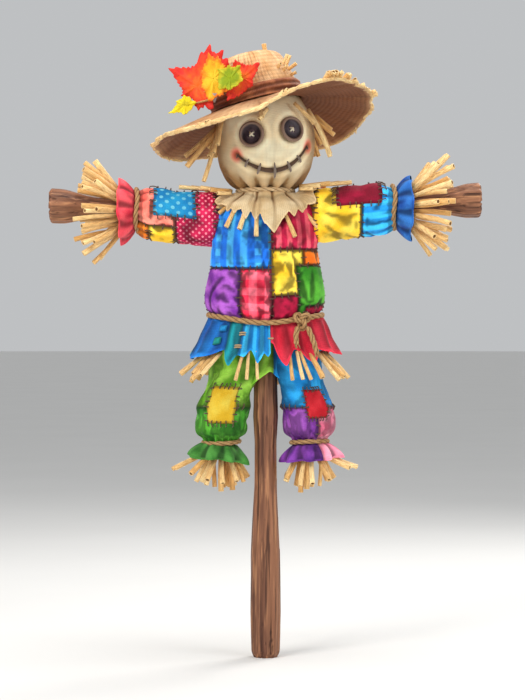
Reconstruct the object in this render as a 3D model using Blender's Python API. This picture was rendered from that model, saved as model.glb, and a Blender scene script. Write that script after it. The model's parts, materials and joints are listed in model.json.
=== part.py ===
"""Scarecrow figure on a stake: a stuffed patchwork body on a wooden cross, with a sack head and a straw hat.

Units are metres and +Z is up. The origin is the centre of the pole's foot. The figure faces -Y, so its own
left is +X. Moving pieces: the head turns on the pole's round tenon, the hat lifts off along its own tilted
axis, each leg swings at the hip, and the two loose ends of the belt cord swing at their knot.
"""

import math

import bmesh
import bpy
from mathutils import Matrix, Vector

# Driving sizes
FIT = 0.0003  # gap between pieces that touch
CLOTH = 0.0012  # thickness of every sewn shell
STRAW_R = 0.0025
STRAW_SIDES = 5
CORD_SIDES = 5
LIMB = 14  # points round a sleeve or a leg
BODY = 20  # points round the torso and the head
BRIM = 24  # points round the hat
SIDES = {"right": -1, "left": 1}

# Wooden cross
POLE_R = 0.0103  # inside the shirt
TENON_R = 0.009  # the head turns on this
TENON_Z = 0.461
POLE_TOP = 0.534
BAR_Z = 0.4475
BAR_R = 0.0100
BAR_HALF = 0.2155
BAR_BOW = 0.0065  # how far the bar's ends rise
ARM_TILT = math.radians(-0.8)  # about +Y: the figure's left arm is the higher one
BOLT_R = 0.0025
BOLT_HOLE_R = 0.0028
BOLT_HEAD_R = 0.0055

# Arms, in the arm frame: x outward along the bar, z measured from the bar's centre
SLEEVE_DROP = -0.0050
WRIST_DROP = -0.0020
WRIST_X = 0.1280
WRIST_R = 0.0194
WRAP_R = 0.0023  # cord tied round the wrists and ankles
HAND_X = 0.1395

# Torso, waist and legs
BELT_Z = 0.3365
WAIST = (0.0535, 0.0360)
CORD_R = 0.0027
KNOT = Vector((0.036, -0.0405, BELT_Z))
TAIL_Y = -0.0465
HIP_Z = 0.300
HIP_R = 0.0215
ANKLE = (0.0440, 0.2150)  # x outward, z
ANKLE_R = 0.0158

# Head and hat
HEAD = Vector((0.0005, 0.0, 0.5150))
HEAD_R = 0.0490
NECK_ROPE_Z = 0.4656
NECK_R = 0.0232
FACE_YAW = math.radians(9)
FACE_ROLL = math.radians(-7.5)
BUTTON_R = 0.0120
HAT = Vector((-0.0080, 0.0, 0.5510))
HAT_ROLL = math.radians(-13)
HAT_BACK = math.radians(-4.3)
HAT_R = 0.0455  # crown radius where it meets the brim
BRIM_R = 0.1100
FELT = 0.0016
CROWN_H = 0.0540

STRAW = ("straw", (0.83, 0.63, 0.33), 0.80, 0.0)
ROPE = ("jute_rope", (0.55, 0.40, 0.22), 0.90, 0.0)
SACK = ("sackcloth", (0.86, 0.75, 0.53), 0.95, 0.0)
WOOD = ("stained_wood", (0.37, 0.20, 0.12), 0.65, 0.0)
STEEL = ("zinc_steel", (0.62, 0.62, 0.63), 0.35, 1.0)
FILLING = ("fibre_filling", (0.90, 0.88, 0.82), 1.0, 0.0)
HAT_FELT = ("hat_straw_cloth", (0.80, 0.56, 0.32), 0.90, 0.0)
BAND = ("hat_band", (0.36, 0.20, 0.15), 0.85, 0.0)
BUTTON = ("dark_button", (0.09, 0.07, 0.08), 0.30, 0.0)
THREAD = ("thread", (0.24, 0.17, 0.12), 0.90, 0.0)
PALE_THREAD = ("pale_thread", (0.80, 0.70, 0.50), 0.90, 0.0)
BLUE = ("blue_cotton", (0.05, 0.32, 0.80), 0.85, 0.0)
RED = ("red_cotton", (0.72, 0.05, 0.15), 0.85, 0.0)
YELLOW = ("yellow_cotton", (0.95, 0.72, 0.10), 0.85, 0.0)
GREEN = ("green_cotton", (0.16, 0.48, 0.10), 0.85, 0.0)
LEAF_RED = ("red_leaf_cloth", (0.85, 0.13, 0.06), 0.70, 0.0)
LEAF_YELLOW = ("yellow_leaf_cloth", (0.92, 0.72, 0.08), 0.70, 0.0)


# ---------------------------------------------------------------- tools


def clear_scene():
    for obj in list(bpy.data.objects):
        bpy.data.objects.remove(obj)


def material(paint):
    name, colour, roughness, metallic = paint
    found = bpy.data.materials.get(name)
    if found:
        return found
    made = bpy.data.materials.new(name)
    made.use_nodes = True
    made.diffuse_color = (*colour, 1)
    shader = made.node_tree.nodes["Principled BSDF"]
    shader.inputs["Base Color"].default_value = (*colour, 1)
    shader.inputs["Roughness"].default_value = roughness
    shader.inputs["Metallic"].default_value = metallic
    return made


def solid(name, shape, paint, parent=None):
    """A named object from a bmesh, shaded smooth with sharp edges kept."""
    bmesh.ops.recalc_face_normals(shape, faces=shape.faces)
    mesh = bpy.data.meshes.new(name)
    shape.to_mesh(mesh)
    shape.free()
    mesh.shade_smooth()
    mesh.set_sharp_from_angle(angle=math.radians(40))
    mesh.materials.append(material(paint))
    obj = bpy.data.objects.new(name, mesh)
    bpy.context.scene.collection.objects.link(obj)
    obj.parent = parent
    return obj


def empty(name, location, matrix=None):
    """A guide that pieces hang from, on the axis they move about."""
    made = bpy.data.objects.new(name, None)
    bpy.context.scene.collection.objects.link(made)
    made.matrix_world = Matrix.Translation(location) @ (matrix or Matrix.Identity(4))
    return made


def ring(centre, half_u, half_v, u=(1, 0, 0), v=(0, 1, 0), sides=BODY, power=2.0):
    """Points of a superellipse in the plane of u and v."""
    centre, u, v = Vector(centre), Vector(u), Vector(v)
    points = []
    for i in range(sides):
        turn = 2 * math.pi * i / sides
        c, s = math.cos(turn), math.sin(turn)
        across = half_u * math.copysign(abs(c) ** (2 / power), c)
        up = half_v * math.copysign(abs(s) ** (2 / power), s)
        points.append(centre + u * across + v * up)
    return points


def skin(rings, loop=False):
    """A closed bmesh through rings of points: the ends are capped, or joined to each other in a loop."""
    shape = bmesh.new()
    rows = [[shape.verts.new(point) for point in points] for points in rings]
    pairs = list(zip(rows, rows[1:]))
    if loop:
        pairs.append((rows[-1], rows[0]))
    for low, high in pairs:
        for i in range(len(low)):
            j = (i + 1) % len(low)
            shape.faces.new((low[i], low[j], high[j], high[i]))
    if not loop:
        shape.faces.new(rows[0])
        shape.faces.new(rows[-1])
    return shape


def tube_rings(points, radii, sides=8, closed=False):
    """Rings of a round bar swept along points, turned as little as possible from one to the next."""
    count = len(points)
    rings = []
    normal = None
    for i, point in enumerate(points):
        before = points[(i - 1) % count] if closed or i else point
        after = points[(i + 1) % count] if closed or i < count - 1 else point
        along = (Vector(after) - Vector(before)).normalized()
        start = normal or along.orthogonal()
        normal = (start - along * start.dot(along)).normalized()
        radius = radii[i] if isinstance(radii, (list, tuple)) else radii
        rings.append(ring(point, radius, radius, normal, along.cross(normal), sides))
    return rings


def tube(points, radii, sides=CORD_SIDES):
    return skin(tube_rings(points, radii, sides))


def hoop(centre, inside, thick, u=(1, 0, 0), v=(0, 1, 0), around=LIMB):
    """A closed cord loop lying in the plane of u and v, clear of a body of the inside radius."""
    radius = inside + FIT + thick
    axis = Vector(u).cross(Vector(v)).normalized()
    rings = []
    for point in ring(centre, radius, radius, u, v, around):
        out = (point - Vector(centre)).normalized()
        rings.append(ring(point, thick, thick, -out, axis, CORD_SIDES))
    return skin(rings, loop=True)


def shell(outer, inner):
    """An open-ended tube of cloth between two stacks of rings."""
    return skin(outer + inner[::-1], loop=True)


def placed(shape, matrix):
    shape.transform(matrix)
    return shape


def box(low, high):
    corners = [(low[0], low[1]), (high[0], low[1]), (high[0], high[1]), (low[0], high[1])]
    return skin([[Vector((x, y, z)) for x, y in corners] for z in (low[2], high[2])])


def rod_y(x, z, y0, y1, radius, sides=12):
    """A rod along Y."""
    return skin([ring((x, y, z), radius, radius, (1, 0, 0), (0, 0, 1), sides) for y in (y0, y1)])


def combine(target, others, operation):
    """Applies a Boolean with each of the other bmeshes, then drops them."""
    for number, other in enumerate(others):
        helper = solid(f"{target.name}_helper_{number}", other, WOOD, target.parent)
        helper.hide_render = True
        helper.display_type = "WIRE"
        cut = target.modifiers.new(operation.title(), "BOOLEAN")
        cut.operation = operation
        cut.object = helper
        bpy.context.view_layer.update()
        graph = bpy.context.evaluated_depsgraph_get()
        result = bpy.data.meshes.new_from_object(target.evaluated_get(graph))
        target.modifiers.remove(cut)
        target.data = result
        bpy.data.objects.remove(helper)
    return target


def straws(name, base, stems, parent=None):
    """A bound tuft: a base with straws growing from it. Each stem is a (root, tip) pair."""
    tuft = solid(name, base, STRAW, parent)
    return combine(tuft, [tube([r, t], STRAW_R, STRAW_SIDES) for r, t in stems], "UNION")


def blend(a, b, share):
    return a + (b - a) * share


def smooth(share):
    share = min(1.0, max(0.0, share))
    return share * share * (3 - 2 * share)


# ---------------------------------------------------------------- wooden cross


def pole():
    """A hewn stake with swellings, a round tenon for the head, and a half-lap notch for the bar."""
    profile = [
        (0.0000, 0.0118),
        (0.0060, 0.0142),
        (0.0450, 0.0152),
        (0.1000, 0.0148),
        (0.1700, 0.0113),
        (0.2150, 0.0108),
        (0.2400, 0.0122),
        (0.2850, 0.0110),
        (0.3300, POLE_R),
        (TENON_Z, POLE_R),
        (TENON_Z, TENON_R),
        (POLE_TOP - 0.003, TENON_R),
        (POLE_TOP, TENON_R - 0.002),
    ]
    stake = solid("pole", skin([ring((0, 0, z), r, r, sides=12) for z, r in profile]), WOOD)
    notch = box((-0.03, -0.03, BAR_Z - BAR_R - FIT), (0.03, FIT / 2, BAR_Z + BAR_R + FIT))
    hole = rod_y(0, BAR_Z, -0.03, 0.03, BOLT_HOLE_R)
    combine(stake, [notch, hole], "DIFFERENCE")


def bar_point(x):
    """The bar's centre line in the arm frame."""
    return Vector((x, 0, BAR_BOW * (x / BAR_HALF) ** 2))


def bar_radius(x):
    """Slim in the middle, thick at the cut ends."""
    return BAR_R + 0.0075 * smooth((abs(x) - 0.12) / 0.09)


def crossbar(arm):
    stations = [0.0, 0.06, 0.12, 0.145, 0.175, 0.20, BAR_HALF - 0.002, BAR_HALF]
    stations = [-x for x in reversed(stations[1:])] + stations
    rings = []
    for x in stations:
        radius = bar_radius(x) - (0.0025 if abs(x) == BAR_HALF else 0)
        rings.append(ring(bar_point(x), radius, radius, (0, 1, 0), (0, 0, 1), 12))
    bar = solid("crossbar", skin(rings), WOOD, arm)
    wide = POLE_R + 2 * FIT
    notch = box((-wide, -FIT / 2, -0.03), (wide, 0.03, 0.03))
    combine(bar, [notch, rod_y(0, 0, -0.03, 0.03, BOLT_HOLE_R)], "DIFFERENCE")


def bolt_set():
    """A carriage bolt through the half-lap, with its nut behind the pole."""
    front = -BAR_R - 2 * FIT
    back = POLE_R + FIT
    stations = [(front - 0.0030, 0.0025), (front - 0.0018, 0.0048), (front, BOLT_HEAD_R)]
    stations += [(front, BOLT_R), (back + 0.0065, BOLT_R)]
    rings = [ring((0, y, BAR_Z), r, r, (1, 0, 0), (0, 0, 1), 12) for y, r in stations]
    solid("crossbar_bolt", skin(rings), STEEL)
    nut = solid("bolt_nut", rod_y(0, BAR_Z, back, back + 0.0040, 0.0046, 6), STEEL)
    combine(nut, [rod_y(0, BAR_Z, -0.03, 0.03, BOLT_HOLE_R)], "DIFFERENCE")


# ---------------------------------------------------------------- torso

# height, half width, half depth of the shirt, waist to shoulders
SHIRT = [
    (BELT_Z - 0.0020, *WAIST),
    (BELT_Z + 0.0020, *WAIST),
    (0.3480, 0.0580, 0.0390),
    (0.3620, 0.0600, 0.0410),
    (0.4050, 0.0545, 0.0385),
    (0.4300, 0.0530, 0.0350),
    (0.4520, 0.0495, 0.0300),
    (0.4590, 0.0465, 0.0265),
    (0.4605, 0.0435, 0.0235),
]
SHIRT_NECK = (0.0250, 0.0180)
SHIRT_POWER = 2.4
ARMHOLE_Z = -0.0065  # from the bar
ARMHOLE_R = 0.0232
ARMHOLE_X = 0.0445


def shirt_size(z):
    """The shirt's half width and half depth at a height."""
    for low, high in zip(SHIRT, SHIRT[1:]):
        if z <= high[0]:
            share = (z - low[0]) / (high[0] - low[0])
            return blend(low[1], high[1], share), blend(low[2], high[2], share)
    return SHIRT[-1][1:]


def shirt_ring(z, inset, sides=BODY):
    half_x, half_y = shirt_size(z)
    centre = (0, 0, min(z, SHIRT[-1][0] - inset))
    return ring(centre, half_x - inset, half_y - inset, sides=sides, power=SHIRT_POWER)


def armhole(side, x):
    """A cutter for the opening in the shirt's side, from x outward."""
    centre = BAR_Z + ARMHOLE_Z
    rings = []
    for at in (x, 0.08):
        rings.append(ring((side * at, 0, centre), ARMHOLE_R, ARMHOLE_R, (0, 1, 0), (0, 0, 1), LIMB))
    return skin(rings)


def shirt():
    neck = ring((0, 0, SHIRT[-1][0]), *SHIRT_NECK, power=SHIRT_POWER)
    outer = [shirt_ring(z, 0) for z, *_ in SHIRT] + [neck]
    inner = [shirt_ring(z, CLOTH) for z, *_ in SHIRT] + [[p - Vector((0, 0, CLOTH)) for p in neck]]
    body = solid("shirt_body", shell(outer, inner), BLUE)
    combine(body, [armhole(side, ARMHOLE_X) for side in SIDES.values()], "DIFFERENCE")


def torso_stuffing():
    """Packed round the pole and the bar, with room for the bolt."""
    low, high = BELT_Z + 0.003, 0.4525
    packed = [shirt_ring(z, CLOTH + 0.0008) for z in (low, 0.3480, 0.3620, 0.4050, 0.4300, high)]
    bore = [ring((0, 0, z), 0.0205, 0.0205) for z in (low, high)]
    body = solid("torso_stuffing", shell(packed, bore), FILLING)
    cuts = [armhole(side, ARMHOLE_X - 0.001) for side in SIDES.values()]
    wide = BAR_R + 0.0010
    channel = skin([ring((x, 0, BAR_Z), wide, wide, (0, 1, 0), (0, 0, 1), 12) for x in (-0.08, 0.08)])
    combine(body, cuts + [channel], "DIFFERENCE")


def shirt_path(turn):
    """Points (radius, z) from the neck over the shoulder and down the shirt in one direction."""
    points = [(SHIRT_NECK[0] * 0.98, SHIRT[-1][0])]
    for z in (0.4605, 0.4590, 0.4520, 0.4300, 0.4050):
        half_x, half_y = shirt_size(z)
        share = abs(math.cos(turn) / half_x) ** SHIRT_POWER + abs(math.sin(turn) / half_y) ** SHIRT_POWER
        points.append((max(share ** (-1 / SHIRT_POWER), points[0][0] + 0.001), z))
    return points


def along_path(points, distance):
    """The point at a distance along a polyline."""
    for start, end in zip(points, points[1:]):
        step = math.dist(start, end)
        if distance <= step:
            return Vector(start).lerp(Vector(end), distance / step)
        distance -= step
    return Vector(points[-1])


def draped(turn, distance, thickness):
    """A point of cloth that lies over the shirt, tight at the neck and looser past the shoulder's edge."""
    path = shirt_path(turn)
    before = along_path(path, max(0.0, distance - 0.003))
    after = along_path(path, distance + 0.003)
    run = (after - before).normalized()
    lift = 0.0008 + 0.0024 * smooth(distance / 0.011) + thickness
    out, z = along_path(path, distance) + Vector((-run.y, run.x)) * lift
    return Vector((out * math.cos(turn), out * math.sin(turn), z))


def collar():
    """The sack's open hem, tied off below the head and spread over the shoulders in points."""
    count = 24
    stations = 7
    layers = []
    for thickness in (0.0009, 0.0):
        rings = []
        for station in range(stations):
            points = []
            for i in range(count):
                turn = 2 * math.pi * i / count
                forward = smooth(abs(math.sin(turn)) * 1.3 - 0.3)
                long = 0.0175 + 0.0165 * forward - 0.0060 * (i % 2) * forward
                points.append(draped(turn, long * station / (stations - 1), thickness))
            rings.append(points)
        layers.append(rings)
    solid("sack_collar", shell(*layers), SACK)


# ---------------------------------------------------------------- arms, built along +X or -X in the arm frame

# distance from the middle, and radius
SLEEVE = [(0.0460, 0.0218), (0.0545, 0.0218), (0.0640, 0.0265), (0.0900, 0.0272), (0.1150, 0.0266)]
SLEEVE += [(WRIST_X - 0.0030, WRIST_R), (WRIST_X + 0.0020, WRIST_R)]
CUFF = [(WRIST_X + 0.0026, WRIST_R), (0.1345, 0.0240), (0.1400, 0.0315), (0.1530, 0.0325)]


def across(x, drop, radius, sides=LIMB):
    """A ring round the arm at x."""
    return ring((x, 0, drop), radius, radius, (0, 1, 0), (0, 0, 1), sides)


def sleeve_centre(x):
    """The sleeve hangs from the bar and rises to it at the wrist."""
    near_root = blend(ARMHOLE_Z, SLEEVE_DROP, smooth((x - 0.046) / 0.02))
    return blend(near_root, WRIST_DROP + bar_point(WRIST_X).z, smooth((x - 0.10) / 0.028))


def sleeve(name, side, paint, arm):
    outer = [across(side * x, sleeve_centre(x), r) for x, r in SLEEVE]
    inner = [across(side * x, sleeve_centre(x), r - CLOTH) for x, r in SLEEVE]
    solid(f"{name}_sleeve", shell(outer, inner), paint, arm)


def sleeve_stuffing(name, side, arm):
    gap = CLOTH + 0.0008
    stations = SLEEVE[1:5]
    outer = [across(side * x, sleeve_centre(x), r - gap) for x, r in stations]
    inner = [across(side * x, bar_point(x).z, bar_radius(x) + 0.0010) for x, r in stations]
    solid(f"{name}_sleeve_stuffing", shell(outer, inner), FILLING, arm)


def sleeve_patch(name, side, paint, arm, x_range, turn_range):
    """A square of cloth that follows the sleeve's front."""
    low, high = x_range
    first, last = (math.radians(t) for t in turn_range)
    columns, rows = 3, 5
    shape = bmesh.new()
    grid = []
    for lift in (2.5 * FIT, 2.5 * FIT + 0.0009):
        layer = []
        for i in range(columns):
            x = blend(low, high, i / (columns - 1))
            line = []
            for j in range(rows):
                turn = blend(first, last, j / (rows - 1))
                radius = SLEEVE[3][1] + lift
                out = Vector((0, -math.cos(turn) * radius, sleeve_centre(x) + math.sin(turn) * radius))
                line.append(shape.verts.new(out + Vector((side * x, 0, 0))))
            layer.append(line)
        grid.append(layer)
    close_sheet(shape, grid)
    solid(f"{name}_sleeve_patch", shape, paint, arm)


def close_sheet(shape, grid):
    """Joins two layers of a grid of vertices into one closed sheet."""
    under, over = grid
    columns, rows = len(over), len(over[0])
    for layer in (under, over):
        for i in range(columns - 1):
            for j in range(rows - 1):
                shape.faces.new((layer[i][j], layer[i + 1][j], layer[i + 1][j + 1], layer[i][j + 1]))
    rim = [(i, 0) for i in range(columns)] + [(columns - 1, j) for j in range(1, rows)]
    rim += [(i, rows - 1) for i in range(columns - 2, -1, -1)] + [(0, j) for j in range(rows - 2, 0, -1)]
    for (a, b), (c, d) in zip(rim, rim[1:] + rim[:1]):
        shape.faces.new((under[a][b], under[c][d], over[c][d], over[a][b]))


def cuff(name, side, paint, arm):
    def centre(x):
        return blend(sleeve_centre(WRIST_X), -0.0010, smooth((x - WRIST_X) / 0.01))

    outer = [across(side * x, centre(x), r) for x, r in CUFF]
    inner = [across(side * x, centre(x), r - CLOTH) for x, r in CUFF]
    solid(f"{name}_cuff", shell(outer, inner), paint, arm)


def wrist_rope(name, side, arm):
    loop = hoop((side * WRIST_X, 0, sleeve_centre(WRIST_X)), WRIST_R, WRAP_R, (0, 1, 0), (0, 0, 1))
    solid(f"{name}_wrist_rope", loop, ROPE, arm)


def hand_straw(name, side, arm):
    """Straw bound round the bar and pushed out of the cuff."""
    inner = [across(side * x, bar_point(x).z, bar_radius(x) + 0.0010, 12) for x in (HAND_X, HAND_X + 0.009)]
    outer = [across(side * x, bar_point(x).z, 0.0175, 12) for x in (HAND_X, HAND_X + 0.009)]
    base = shell(outer, inner)
    stems = []
    count = 12
    for i in range(count):
        turn = 2 * math.pi * (i + 0.5) / count
        out = Vector((0, math.cos(turn), math.sin(turn)))
        reach = 0.030 + 0.010 * ((i * 5) % 3) / 2
        spread = 0.024 + 0.013 * ((i * 7) % 4) / 3
        root = bar_point(HAND_X + 0.006) + out * 0.0155
        tip = bar_point(HAND_X + 0.008 + reach) + out * (0.0155 + spread)
        stems.append((Vector((side * root.x, root.y, root.z)), Vector((side * tip.x, tip.y, tip.z))))
    straws(f"{name}_hand_straw", base, stems, arm)


def shoulder_straw(name, side, arm):
    """A sprig that pokes out from under the collar and lies on top of the sleeve."""
    low, high = sorted((side * 0.044, side * 0.052))
    base = box((low, -0.008, 0.0195), (high, 0.008, 0.0240))
    stems = []
    for y, tip_x, tip_y in ((-0.0045, 0.086, -0.002), (-0.0055, 0.072, -0.015), (0.0050, 0.075, 0.013)):
        rise = 0.0270 - 0.12 * (0.086 - tip_x)
        stems.append((Vector((side * 0.048, y, 0.0225)), Vector((side * tip_x, tip_y, rise))))
    straws(f"{name}_shoulder_straw", base, stems, arm)


# ---------------------------------------------------------------- belt, skirt and waist


def belt():
    """A cord round the waist, open only where the knot sits."""
    half_x, half_y = (half + CORD_R + 0.0008 for half in WAIST)
    knot_turn = math.atan2(KNOT.y, KNOT.x)
    gap = 0.17
    count = 28
    points = []
    for i in range(count + 1):
        turn = knot_turn + gap + (2 * math.pi - 2 * gap) * i / count
        c, s = math.cos(turn), math.sin(turn)
        reach = (abs(c / half_x) ** SHIRT_POWER + abs(s / half_y) ** SHIRT_POWER) ** (-1 / SHIRT_POWER)
        points.append(Vector((reach * c, reach * s, BELT_Z)))
    solid("belt_rope", tube(points, CORD_R), ROPE)
    stations = [(-0.0068, 0.0035), (-0.0040, 0.0060), (0.0040, 0.0060), (0.0068, 0.0035)]
    knot = [ring(KNOT + Vector((0, 0, z)), r, r * 0.72, sides=10) for z, r in stations]
    solid("belt_knot", skin(knot), ROPE)


def belt_tails():
    """Two loose cord ends that hang in front of the skirt, each on its own pivot at the knot."""
    top = BELT_Z - 0.0095
    for name, x, lean, length in (("short", 0.0315, -0.10, 0.0155), ("long", 0.0410, 0.40, 0.0265)):
        pivot = empty(f"belt_tail_{name}_pivot", (x, TAIL_Y, top))
        along = Vector((math.sin(lean), 0, -math.cos(lean)))
        points = [along * (length * share) for share in (0.0, 0.85, 1.0)]
        solid(f"belt_tail_{name}", tube(points, [0.0021, 0.0025, 0.0019]), ROPE, pivot)


def half_sheet(side, stations, thickness, count=12, jag=None):
    """Half of a flared tube, on one side of the body: stations are (z, half_x, half_y), hem last."""
    shape = bmesh.new()
    grid = []
    for inset in (thickness, 0.0):
        layer = []
        for i in range(count + 1):
            turn = math.radians(-88 + 176 * i / count)
            line = []
            for z, half_x, half_y in stations:
                drop = jag(i, turn) if jag and z == stations[-1][0] else 0.0
                out_x = side * (half_x - inset) * math.cos(turn)
                line.append(shape.verts.new((out_x, (half_y - inset) * math.sin(turn), z + drop)))
            layer.append(line)
        grid.append(layer)
    close_sheet(shape, grid)
    return shape


# height, half width and half depth
SKIRT = [(0.3330, 0.0545, 0.0370), (0.3200, 0.0620, 0.0420), (0.3050, 0.0695, 0.0468)]
SKIRT += [(0.2950, 0.0740, 0.0500)]


def skirt(name, side, paint):
    """The shirt's tail below the belt, in torn points."""

    def jag(i, turn):
        return (0.004 if i % 2 else -0.004) + 0.008 * math.cos(turn)

    solid(f"{name}_skirt", half_sheet(side, SKIRT, CLOTH, jag=jag), paint)


def trouser_waist():
    low, high = HIP_Z + HIP_R + 0.0020, BELT_Z
    outer = [ring((0, 0, z), 0.0495, 0.0320, power=SHIRT_POWER) for z in (low, high)]
    bore = [ring((0, 0, z), 0.0125, 0.0125) for z in (high, low)]
    solid("trouser_waist", skin(outer + bore, loop=True), GREEN)


def waist_straw(name, side):
    """Straw tucked under the shirt's tail, hanging out below its hem."""
    base = half_sheet(side, [(0.3115, 0.0640, 0.0432), (0.3030, 0.0655, 0.0442)], 0.0032)
    stems = []
    for degrees, out, down in (
        (-78, 0.008, 0.031),
        (-62, 0.009, 0.032),
        (-46, 0.010, 0.030),
        (-20, 0.014, 0.026),
        (0, 0.016, 0.021),
        (28, 0.013, 0.027),
        (52, 0.009, 0.030),
        (74, 0.008, 0.031),
    ):
        turn = math.radians(degrees)
        away = Vector((side * math.cos(turn), math.sin(turn), 0))
        root = Vector((side * 0.0630 * math.cos(turn), 0.0422 * math.sin(turn), 0.3070))
        stems.append((root, root + away * out + Vector((0, 0, -down))))
    straws(f"{name}_waist_straw", base, stems)


# ---------------------------------------------------------------- legs, in the hip's frame

# height, centre x, half width, half depth below the hip, ankle last
LEG = [
    (0.3000, 0.0370, 0.0225, 0.0215),
    (0.2750, 0.0385, 0.0245, 0.0240),
    (0.2450, 0.0420, 0.0268, 0.0250),
    (0.2320, 0.0432, 0.0258, 0.0240),
    (0.2180, ANKLE[0], ANKLE_R, ANKLE_R),
    (0.2130, ANKLE[0], ANKLE_R, ANKLE_R),
]


def leg_rings(side, inset, last=None):
    """Rings from the rounded hip down to the ankle."""
    rings = []
    for degrees in (75, 45, 20):
        turn = math.radians(degrees)
        wide = 0.0225 * (0.70 + 0.30 * math.cos(turn)) - inset
        deep = (HIP_R - inset) * math.cos(turn)
        rings.append(hip_ring(side * 0.0370, HIP_Z + (HIP_R - inset) * math.sin(turn), wide, deep))
    for z, x, wide, deep in LEG[:last]:
        rings.append(hip_ring(side * x, z, wide - inset, deep - inset))
    return rings


def hip_ring(x, z, wide, deep):
    return ring((x, 0, z - HIP_Z), wide, deep, sides=LIMB)


def leg(name, side, paint, hip):
    """A trouser leg, closed over its filling at the hip and open at the ankle."""
    solid(f"{name}_trouser_leg", skin(leg_rings(side, CLOTH) + leg_rings(side, 0)[::-1]), paint, hip)
    filling = leg_rings(side, CLOTH + 0.0008, last=-2)
    solid(f"{name}_leg_stuffing", skin(filling), FILLING, hip)


def ankle(name, side, paint, hip):
    x, z = side * ANKLE[0], ANKLE[1] - HIP_Z
    solid(f"{name}_ankle_rope", hoop((x, 0, z), ANKLE_R, WRAP_R), ROPE, hip)
    stations = [(-0.0026, ANKLE_R), (-0.0100, 0.0245), (-0.0160, 0.0285), (-0.0215, 0.0285)]
    outer = [ring((x, 0, z + down), r, r, sides=LIMB) for down, r in stations]
    inner = [ring((x, 0, z + down), r - CLOTH, r - CLOTH, sides=LIMB) for down, r in stations]
    solid(f"{name}_ankle_ruffle", shell(outer, inner), paint, hip)


def foot_straw(name, side, hip):
    """A fan of straw out of the trouser leg, longer and lower-lying on the outer side."""
    x, z = side * ANKLE[0], ANKLE[1] - HIP_Z
    base = skin([ring((x, 0, z + down), 0.0115, 0.0115, sides=LIMB) for down in (-0.0050, -0.0170)])
    stems = []
    count = 12
    for i in range(count):
        turn = 2 * math.pi * (i + 0.25) / count
        out = Vector((math.cos(turn), math.sin(turn), 0))
        outward = side * out.x
        reach = 0.0165 + 0.0180 * max(0.0, outward) + 0.004 * ((i * 5) % 3) / 2
        down = 0.047 - 0.006 * max(0.0, outward) - 0.004 * ((i * 7) % 3) / 2
        root = Vector((x, 0, z - 0.012)) + out * 0.0090
        stems.append((root, Vector((x, 0, z - down)) + out * (0.0070 + reach)))
    straws(f"{name}_foot_straw", base, stems, hip)


def knee_patch(name, side, paint, hip):
    """A square of cloth over the front of the leg."""
    columns, rows = 5, 3
    shape = bmesh.new()
    grid = []
    for lift in (2 * FIT, 2 * FIT + 0.0009):
        layer = []
        for i in range(columns):
            turn = math.radians(-90 + side * (-28 + 56 * i / (columns - 1)))
            line = []
            for j in range(rows):
                z = 0.2720 - 0.030 * j / (rows - 1)
                x, wide, deep = leg_at(z)
                c, s = math.cos(turn), math.sin(turn)
                line.append(shape.verts.new((side * x + (wide + lift) * c, (deep + lift) * s, z - HIP_Z)))
            layer.append(line)
        grid.append(layer)
    close_sheet(shape, grid)
    solid(f"{name}_knee_patch", shape, paint, hip)


def leg_at(z):
    """Centre x, half width and half depth of a leg at a height."""
    for above, below in zip(LEG, LEG[1:]):
        if below[0] <= z <= above[0]:
            share = (above[0] - z) / (above[0] - below[0])
            return tuple(blend(a, b, share) for a, b in zip(above[1:], below[1:]))
    return LEG[0][1:]


# ---------------------------------------------------------------- head

# height above the head's centre and radius, neck to top
HEAD_PROFILE = [
    (-0.0520, NECK_R),
    (-0.0465, NECK_R),
    (-0.0400, 0.0325),
    (-0.0260, 0.0430),
    (-0.0130, 0.0477),
    (0.0000, HEAD_R),
    (0.0130, 0.0485),
    (0.0250, 0.0462),
    (0.0360, 0.0420),
    (0.0480, 0.0310),
    (0.0535, 0.0140),
]


def hat_turn(share=1.0):
    """The hat's tilt, or a share of it."""
    return Matrix.Rotation(HAT_ROLL * share, 4, "Y") @ Matrix.Rotation(HAT_BACK * share, 4, "X")


def head_rings(inset):
    """The sack's rings, upright at the neck and leaning with the hat at the top."""
    rings = []
    for height, radius in HEAD_PROFILE:
        turn = hat_turn(smooth(height / 0.03))
        up = turn @ Vector((0, 0, 1))
        top = min(height, HEAD_PROFILE[-1][0] - inset)
        centre = up * top + Vector((-HEAD.x, 0, 0)) * smooth(-height / 0.045)
        half = radius - inset
        rings.append(ring(centre, half, half * 0.97, turn @ Vector((1, 0, 0)), turn @ Vector((0, 1, 0))))
    return rings


def head(turn):
    outer = head_rings(0)
    inner = head_rings(CLOTH)
    solid("head_sack", skin(inner[::-1] + outer), SACK, turn)
    packed = head_rings(CLOTH + 0.0008)[1:]
    neck_x = -HEAD.x
    depth = POLE_TOP + 0.0015 - HEAD.z
    bore = [ring((neck_x, 0, z), TENON_R + 0.0008, TENON_R + 0.0008) for z in (depth, packed[0][0].z)]
    solid("head_stuffing", skin(bore + packed), FILLING, turn)
    solid("neck_rope", hoop((neck_x, 0, NECK_ROPE_Z - HEAD.z), NECK_R, CORD_R, around=BODY), ROPE, turn)


def face_turn():
    return Matrix.Rotation(FACE_ROLL, 4, "Y") @ Matrix.Rotation(FACE_YAW, 4, "Z")


def face_way(sideways, up):
    """The outward direction at degrees sideways and up on the face, turned with the head."""
    a, e = math.radians(sideways), math.radians(up)
    return face_turn() @ Vector((math.sin(a) * math.cos(e), -math.cos(a) * math.cos(e), math.sin(e)))


def facing(point, out):
    """A matrix at point whose z axis is out and whose x axis is level."""
    across_x = Vector((0, 0, 1)).cross(out).normalized()
    rows = Matrix((across_x, out.cross(across_x), out)).transposed().to_4x4()
    return Matrix.Translation(point) @ rows


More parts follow.
